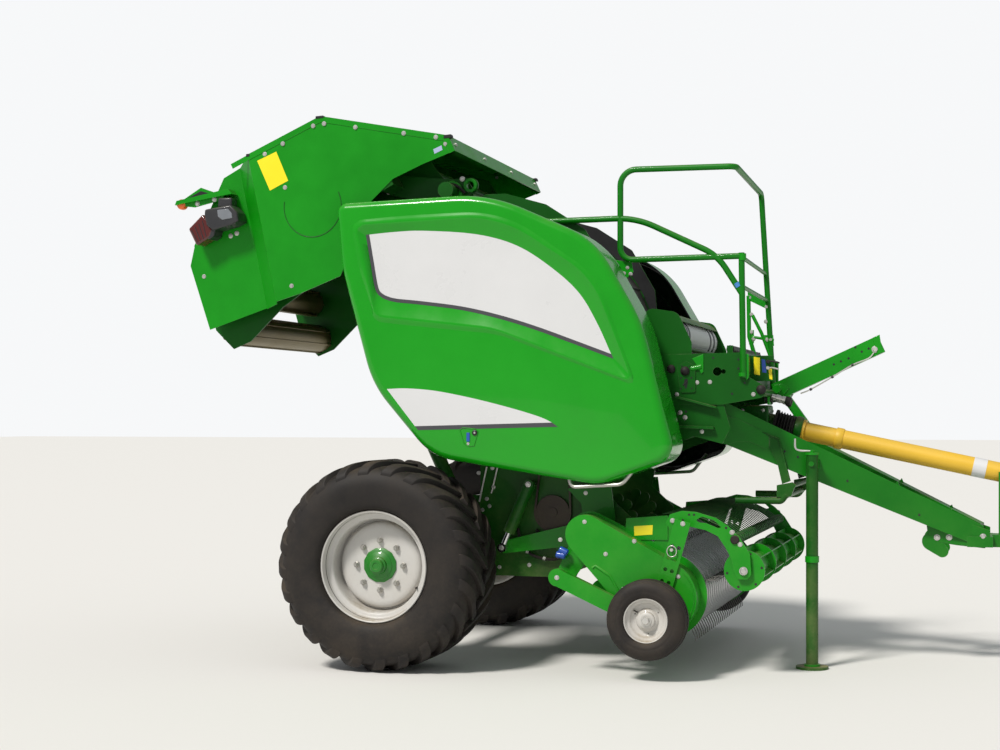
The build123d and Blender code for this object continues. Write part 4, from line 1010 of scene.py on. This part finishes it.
piece_of("arm_end",
         [prism_shape([(2626, 1726), (2655, 1740), (2640, 1840), (2600, 1822)], -183, -179),
          spun_shape(at(2060, -215, 1532), (0, 1, 0), rod(24, 130), 24),
          prism_shape([(2036, 1480), (2100, 1500), (2130, 1540), (2096, 1562), (2040, 1560)],
                      -188, -181)], green_paint, rolled=2)
piece_of("arm_clips", [spun_shape(place, (0.88, 0, 0.47), rod(8, 7, -7), 12)
                       for place in wire_line[1:4]], black_caps_and_hole_shade)

# ------------------------------------------------------------------ drive shaft guard
# A ribbed rubber boot with a green collar, then a yellow plastic tube that slides over a thinner
# one, with a blank white label band near the tractor.
yellow_guard = finish_of("yellow shaft guard", colour(222, 178, 48), 0.45, "yellow_plastic",
                         dust=0.4, low_dust=0.1, variation=0.06)
set_finish("pto_guard", yellow_guard)
set_finish("pto_shaft", bare_steel)
SHAFT_X, SHAFT_Z, SHAFT_SLOPE = 2050, 1318, -0.2096
boot = [(60, 0), (92, 0), (92, 14)]
for fold in range(6):
    boot += [(72, 20 + 17 * fold), (88 - 2 * fold, 28 + 17 * fold)]
boot += [(70, 124), (58, 124)]
COLLAR = [(50, 0), (76, 0), (80, 6), (80, 34), (74, 44), (50, 44)]
JOINT = [(54, 0), (60, 0), (62, 3), (62, 40), (58, 46), (54, 46)]
for name, x, section, material, sharp, replaced in (
        ("shaft_boot", 2022, boot, rubber, 60, "pto_boot"),
        ("shaft_collar", 2142, COLLAR, shaded_dusty_green_paint, 35, None),
        ("guard_joint", 2376, JOINT, yellow_guard, 35, None),
        ("guard_label", 3150, tube(54.5, 56, 74), film_white, 35, None)):
    start = at(x, 0, SHAFT_Z + (x - SHAFT_X) * SHAFT_SLOPE)
    piece_of(name, [spun_shape(start, (1, 0, SHAFT_SLOPE), section, 48)], material, sharp=sharp,
             replaces=replaced)

# ------------------------------------------------------------------ pick-up sides
# Pressed chain cases with a strengthening rib and bolted rims, blank yellow plates on the deck
# behind, pinned height adjusters and the wind guard's slotted arms with their bolts.
sheet_bands = finish_of("scoured sheet", colour(172, 173, 176), 0.36, metallic=0.45, dust=0.25)
set_finish("stripper_bands", sheet_bands)
CASE_FACE, GUARD_ARM_FACE, DECK_Y = 1055, 997, 931
CASE_BOLTS = [(1242, 627), (1640, 515), (988, 700), (1124, 800), (1400, 700), (1340, 440)]
CASE_RIB = [(1167, 549), (1184, 561), (1267, 508), (1323, 412), (1290, 330)]
DECK_PLATE = [(1320, 700), (1330, 815), (1560, 835), (1560, 700)]
DECK_YELLOW = [(1373, 773), (1478, 781), (1475, 729), (1375, 721)]
LINE_CAP = [(0, 0), (17, 0), (19, 5), (19, 46), (14, 52), (0, 52)]
ARM_CAP = [(0, 0), (24, 0), (24, 9), (19, 14), (0, 15)]
GUARD_ARM_HOLES = [(1689, 845), (1716, 845), (1889, 777), (1655, 815)]
ROLLER_X, ROLLER_Z, ROLLER_END = 1983, 549, 969.3
piece_of("case_bolts", bolt_shapes(both_sides(CASE_BOLTS, -CASE_FACE), 9)
         + bolt_shapes(both_sides([(985, -1121, 498), (1668, -1070, 800)]), 10), zinc, "pickup")
for side, side_name in SIDES:
    piece_of(f"case_rib_{side_name}",
             [bar_shape([at(x, side * (CASE_FACE - 3), z) for x, z in CASE_RIB], 9, 12)],
             green_paint, "pickup", sharp=60)
    piece_of(f"case_bead_{side_name}",
             [bar_shape(arc(1540, side * CASE_FACE, 400, 186, range(-100, 52, 8)), 4, 8)],
             green_paint, "pickup", sharp=80)
    piece_of(f"deck_plate_{side_name}",
             [prism_shape(DECK_PLATE, side * (DECK_Y - 4), side * DECK_Y)], green_paint, "pickup")
    piece_of(f"deck_yellow_plate_{side_name}",
             [prism_shape(DECK_YELLOW, side * DECK_Y, side * (DECK_Y + PLATE_THICKNESS))],
             plate_yellow, "pickup")
    ring_line = [at(1610 + 26 * math.cos(math.radians(a)), side * 1082,
                    652 + 30 * math.sin(math.radians(a))) for a in range(0, 361, 24)]
    piece_of(f"adjuster_pin_{side_name}",
             [bar_shape(ring_line, 3, 8),
              bar_shape([at(1610, side * 1060, 660), at(1610, side * 1092, 660)], 9, 12)], zinc,
             "pickup", sharp=60)
    piece_of(f"line_caps_{side_name}",
             [spun_shape(at(x, side * 960, z), (1, 0, slope), LINE_CAP, 14)
              for x, z, slope in ((960, 640, -0.45), (942, 612, -0.2))], plate_blue, "pickup")
    piece_of(f"guard_arm_bolts_{side_name}",
             bolt_shapes([(1921, side * GUARD_ARM_FACE, 754), (1964, side * GUARD_ARM_FACE, 690),
                          (1600, side * 1004, 812)], 10)
             + bolt_shapes([(ROLLER_X, side * 1006, ROLLER_Z)], 17), zinc, "wind_guard")
    piece_of(f"guard_arm_cap_{side_name}",
             [cross_spun(side, 1936, GUARD_ARM_FACE - 1, 715, ARM_CAP)], rubber, "wind_guard")
    piece_of(f"guard_arm_holes_{side_name}",
             hole_shapes([(x, side * GUARD_ARM_FACE, z) for x, z in GUARD_ARM_HOLES], 6.5),
             black_caps_and_hole_shade, "wind_guard")
    roller_holes = [polar(ROLLER_X, ROLLER_Z, 94, a) for a in range(10, 370, 60)]
    piece_of(f"press_roller_holes_{side_name}",
             hole_shapes([(x, side * ROLLER_END, z) for x, z in roller_holes], 7), black_caps_and_hole_shade,
             "press_roller")

# ------------------------------------------------------------------ tines
# Sprung wire fingers: each reel finger winds once round its bar and each guard tine twice round the
# guard tube, from where it trails back over the swath.
tine_green = finish_of("green spring wire", colour(44, 92, 48), 0.4, "tine_steel", metallic=0.2,
                       dust=0.3)
tine_steel = finish_of("spring steel", colour(92, 92, 92), 0.4, "tine_steel", metallic=0.7,
                       dust=0.3)


def coil_line(x, y, z, radius, turns, pitch, start, steps=10):
    """A helix round a cross axis, in mm, from a starting angle in degrees."""
    spots = [polar(x, z, radius, start + 360 * k / steps) for k in range(turns * steps + 1)]
    return [at(px, y + pitch * k / steps, pz) for k, (px, pz) in enumerate(spots)]


GUARD_CENTRE, GUARD_RADIUS, GUARD_COUNT, GUARD_PITCH, GUARD_Y = (1590, 330), 516, 27, 70, -910
guard_wire = (coil_line(1936, GUARD_Y - 14, 715, 27, 2, 8, -300)
              + arc(GUARD_CENTRE[0], GUARD_Y + 4, GUARD_CENTRE[1], GUARD_RADIUS, range(52, 98, 5)))

row_tree, row_in, row_out = geometry_tree(
    "Row across the machine", {"Pitch": "Float", "Count": "Int", "Material": "Material"})
row_step = add_node(row_tree, "ShaderNodeCombineXYZ", {"Y": row_in["Pitch"]})
row_line = add_node(row_tree, "GeometryNodeMeshLine",
                    {"Offset": row_step.outputs[0], "Count": row_in["Count"]})
end_tree(row_tree, row_in, row_out, row_line.outputs[0], row_in["Geometry"])

repeated("guard_wires", mesh_of("guard tine", *bar_shape(guard_wire, 3.4, 6), 60), row_tree,
         tine_green, "wind_guard", replaces="guard_tines", Pitch=GUARD_PITCH / 1000,
         Count=GUARD_COUNT)
REEL, BAR_RADIUS, FINGER_COUNT, FINGER_PITCH = Vector((1540, 400)), 165, 27, 68
FINGER_Y = -FINGER_PITCH * (FINGER_COUNT - 1) / 2
BAR_COUNT = 5
# A finger as (distance from the reel's axis, lead over its bar).
FINGER = ((BAR_RADIUS + 20, 14), (BAR_RADIUS + 70, 12), (BAR_RADIUS + 110, 5), (299, -8))
fingers = []
for k in range(BAR_COUNT):
    angle = 360 / BAR_COUNT * k - 55
    out, along = Vector(polar(0, 0, 1, angle)), Vector(polar(0, 0, 1, angle + 90))
    tine_bar = REEL + out * BAR_RADIUS
    line = coil_line(tine_bar.x, FINGER_Y - 8, tine_bar.y, 16, 1, 7, angle - 90)
    for reach, sweep in FINGER:
        spot = REEL + out * reach + along * sweep
        line.append(at(spot.x, FINGER_Y, spot.y))
    fingers.append(bar_shape(line, 3, 6))
repeated("reel_fingers", mesh_of("reel fingers", *joined(fingers), 60), row_tree, tine_steel,
         "reel", replaces="reel_tines", Pitch=FINGER_PITCH / 1000, Count=FINGER_COUNT)

# ------------------------------------------------------------------ gauge wheels
# Small pressed-steel wheels with a stepped disc and a ribbed rubber tyre, each held on its stub
# axle by one plated nut.
GAUGE_X, GAUGE_Y, GAUGE_Z = 1503, 1200, 296
GAUGE_DISC = [(120, 58), (117, 62), (113, 60), (110, 50), (106, 41), (98, 36), (93, 32), (90, 22),
              (82, 15), (64, 12), (60, 15), (56, 22), (50, 26), (46, 27), (44, 40), (36, 46),
              (0, 46), (0, -50), (38, -50), (40, -8), (92, -8), (104, -24), (112, -52), (120, -58)]
GAUGE_RIBS = [(119, 50), (122, 62), (128, 68), (140, 73), (150, 76), (153, 75), (157, 76.5),
              (168, 77), (184, 75), (197, 67), (204, 61), (206, 57), (204, 56), (205, 53),
              (211, 50), (214, 42), (214, 38), (208, 37), (208, 33), (215, 32), (215, 14),
              (209, 13), (209, 9)]
GAUGE_RIBS += [(r, -y) for r, y in GAUGE_RIBS[::-1]]
GAUGE_NUT = [(0, 0), (22, 0), (22, 17), (18, 21), (0, 22)]
gauge_holes = [polar(GAUGE_X, GAUGE_Z, 72, math.degrees(a)) for a in (0.6, 2.7, 4.8)]
for side, side_name in SIDES:
    gauge_wheel = f"gauge_wheel_{side_name}"
    piece_of(f"gauge_disc_{side_name}",
             [cross_spun(side, GAUGE_X, GAUGE_Y, GAUGE_Z, GAUGE_DISC, 72)], rim_silver, gauge_wheel,
             sharp=40, replaces=f"gauge_rim_{side_name}")
    piece_of(f"gauge_ribbed_tyre_{side_name}",
             [cross_spun(side, GAUGE_X, GAUGE_Y, GAUGE_Z, GAUGE_RIBS, 72)], rubber, gauge_wheel,
             "tyre", 40, replaces=f"gauge_tyre_{side_name}")
    valve = [at(GAUGE_X - back, side * (GAUGE_Y + out), GAUGE_Z + back * 0.8)
             for back, out in ((50, 22), (66, 42))]
    piece_of(f"gauge_holes_{side_name}",
             hole_shapes([(x, side * (GAUGE_Y + 13.4), z) for x, z in gauge_holes], 3.5)
             + [bar_shape(valve, 4)], black_caps_and_hole_shade, gauge_wheel)
    piece_of(f"gauge_nut_{side_name}",
             [cross_spun(side, GAUGE_X, GAUGE_Y + 47, GAUGE_Z, rod(29, 4)),
              cross_spun(side, GAUGE_X, GAUGE_Y + 50, GAUGE_Z, GAUGE_NUT, 6)], zinc, "pickup")

# ------------------------------------------------------------------ frame fittings
# Bolts of the walls and hangers, oil lines clipped along the right wall, thin guide rods, the
# jack's handle and pin, and the screws of the gearbox.
WALL_BOLTS = [(486, 966), (446, 896), (462, 855), (396, 1046), (522, 504), (420, 832), (480, 1075),
              (700, 520), (900, 520), (1080, 1020), (1180, 1120), (1420, 1230), (1700, 1290)]
HANGER_BOLTS, HANGER_FACE = [(1044, 940), (1160, 760), (930, 650)], 692
OIL_LINES = [[(640, -668, 730), (655, -676, 668), (700, -680, 600), (770, -680, 566),
              (863, -680, 560), (900, -672, 590), (905, -664, 640)],
             [(746, -662, 725), (790, -664, 690), (863, -664, 683), (930, -664, 740)]]
LINE_CLIPS = [(700, -680, 600), (800, -680, 563), (800, -664, 688)]
JACK_X, JACK_Y = 2290, -470
# The crank as (back from the jack's axis, out from it, z).
CRANK = [(0, 0, 1180), (70, 8, 1184), (92, 10, 1200), (94, 10, 1250)]
piece_of("wall_bolts",
         bolt_shapes(both_sides(WALL_BOLTS, -WALL_FACE) + both_sides(HANGER_BOLTS, -HANGER_FACE), 9)
         + bolt_shapes(both_sides([(300, 880)], -763) + [(730, -783, 988)], 12), zinc)
bolted("ram_lever_bolt", [(570, -776, 625)], 11, "pickup")
piece_of("guide_rod", [bar_shape([at(450, -666, 1082), at(406, -666, 880)], 5),
                       bar_shape([at(520, -664, 1100), at(478, -664, 930)], 5)], zinc)
piece_of("oil_lines", [bar_shape(curve_through([at(*spot) for spot in line], 5), 9, 12)
                       for line in OIL_LINES], rubber, sharp=80)
piece_of("line_clips", [spun_shape(at(*spot), (1, 0, -0.3), rod(13, 8, -8), 12)
                        for spot in LINE_CLIPS], zinc)
piece_of("jack_fittings",
         [spun_shape(at(JACK_X, JACK_Y, z), (0, 0, 1), rod(radius, height), 32)
          for z, radius, height in ((560, 39, 34), (1159, 38, 12), (-20, 44, 12))]
         + [bar_shape([at(JACK_X, JACK_Y, 1171), at(JACK_X, JACK_Y, 1186)], 12)],
         green_paint, "jack")
crank_line = [at(JACK_X - back, JACK_Y - out, z) for back, out, z in CRANK]
piece_of("jack_crank", [bar_shape(curve_through(crank_line, 4), 6)], zinc, "jack", sharp=80)
piece_of("gearbox_screws",
         [screw_shape(2000, y, z, (1, 0, 0), 9) for y in (-85, 85) for z in (1260, 1405)]
         + bolt_shapes([(x, y, z) for x in (1850, 1970) for y in (-115, 115)
                        for z in (1255, 1410)], 8), zinc)

# ------------------------------------------------------------------ front cover fittings
# Ribs pressed into the black cover, the black lining of the walls above it, and the flag
# bracket with three screws on the right-hand wall.
black_sheet = finish_of("black sheet", colour(24, 25, 26), 0.45, coat=0.2, dust=0.4)
set_finish("front_cover", black_sheet)
COVER_X, COVER_Z, COVER_RADIUS, BRACKET_FACE = 350, 1777, 844, 656
WALL_LINING = [(441, 2659), (559, 2659), (799, 2589), (1029, 2439), (1179, 2180), (1221, 1790)]
COVER_BRACKET = [(1090, 2290), (1191, 2261), (1301, 2247), (1312, 2190), (1272, 2152),
                 (1232, 2187), (1090, 2215)]
COVER_SCREWS = [(1278, 2214), (1295, 2179), (1258, 2182)]
ribs = [polar(COVER_X, COVER_Z, COVER_RADIUS - 1, math.degrees(a)) for a in (0.5, 0.72, 1.0, 1.24)]
piece_of("cover_ribs", [bar_shape([at(x, -600, z), at(x, 600, z)], 7, 8) for x, z in ribs],
         black_caps_and_hole_shade, slot="black_sheet", sharp=80)
lining_foot = [polar(COVER_X, COVER_Z, COVER_RADIUS, math.degrees(0.04 + step * 0.14))
               for step in range(11)]
piece_of("wall_linings", twin_prisms(WALL_LINING + lining_foot, 635, 639.5), black_caps_and_hole_shade,
         slot="black_sheet")
piece_of("cover_bracket", [prism_shape(COVER_BRACKET, -WALL_FACE, -BRACKET_FACE)], green_paint,
         rolled=2)
bolted("cover_screws", [(x, -BRACKET_FACE, z) for x, z in COVER_SCREWS], 8)
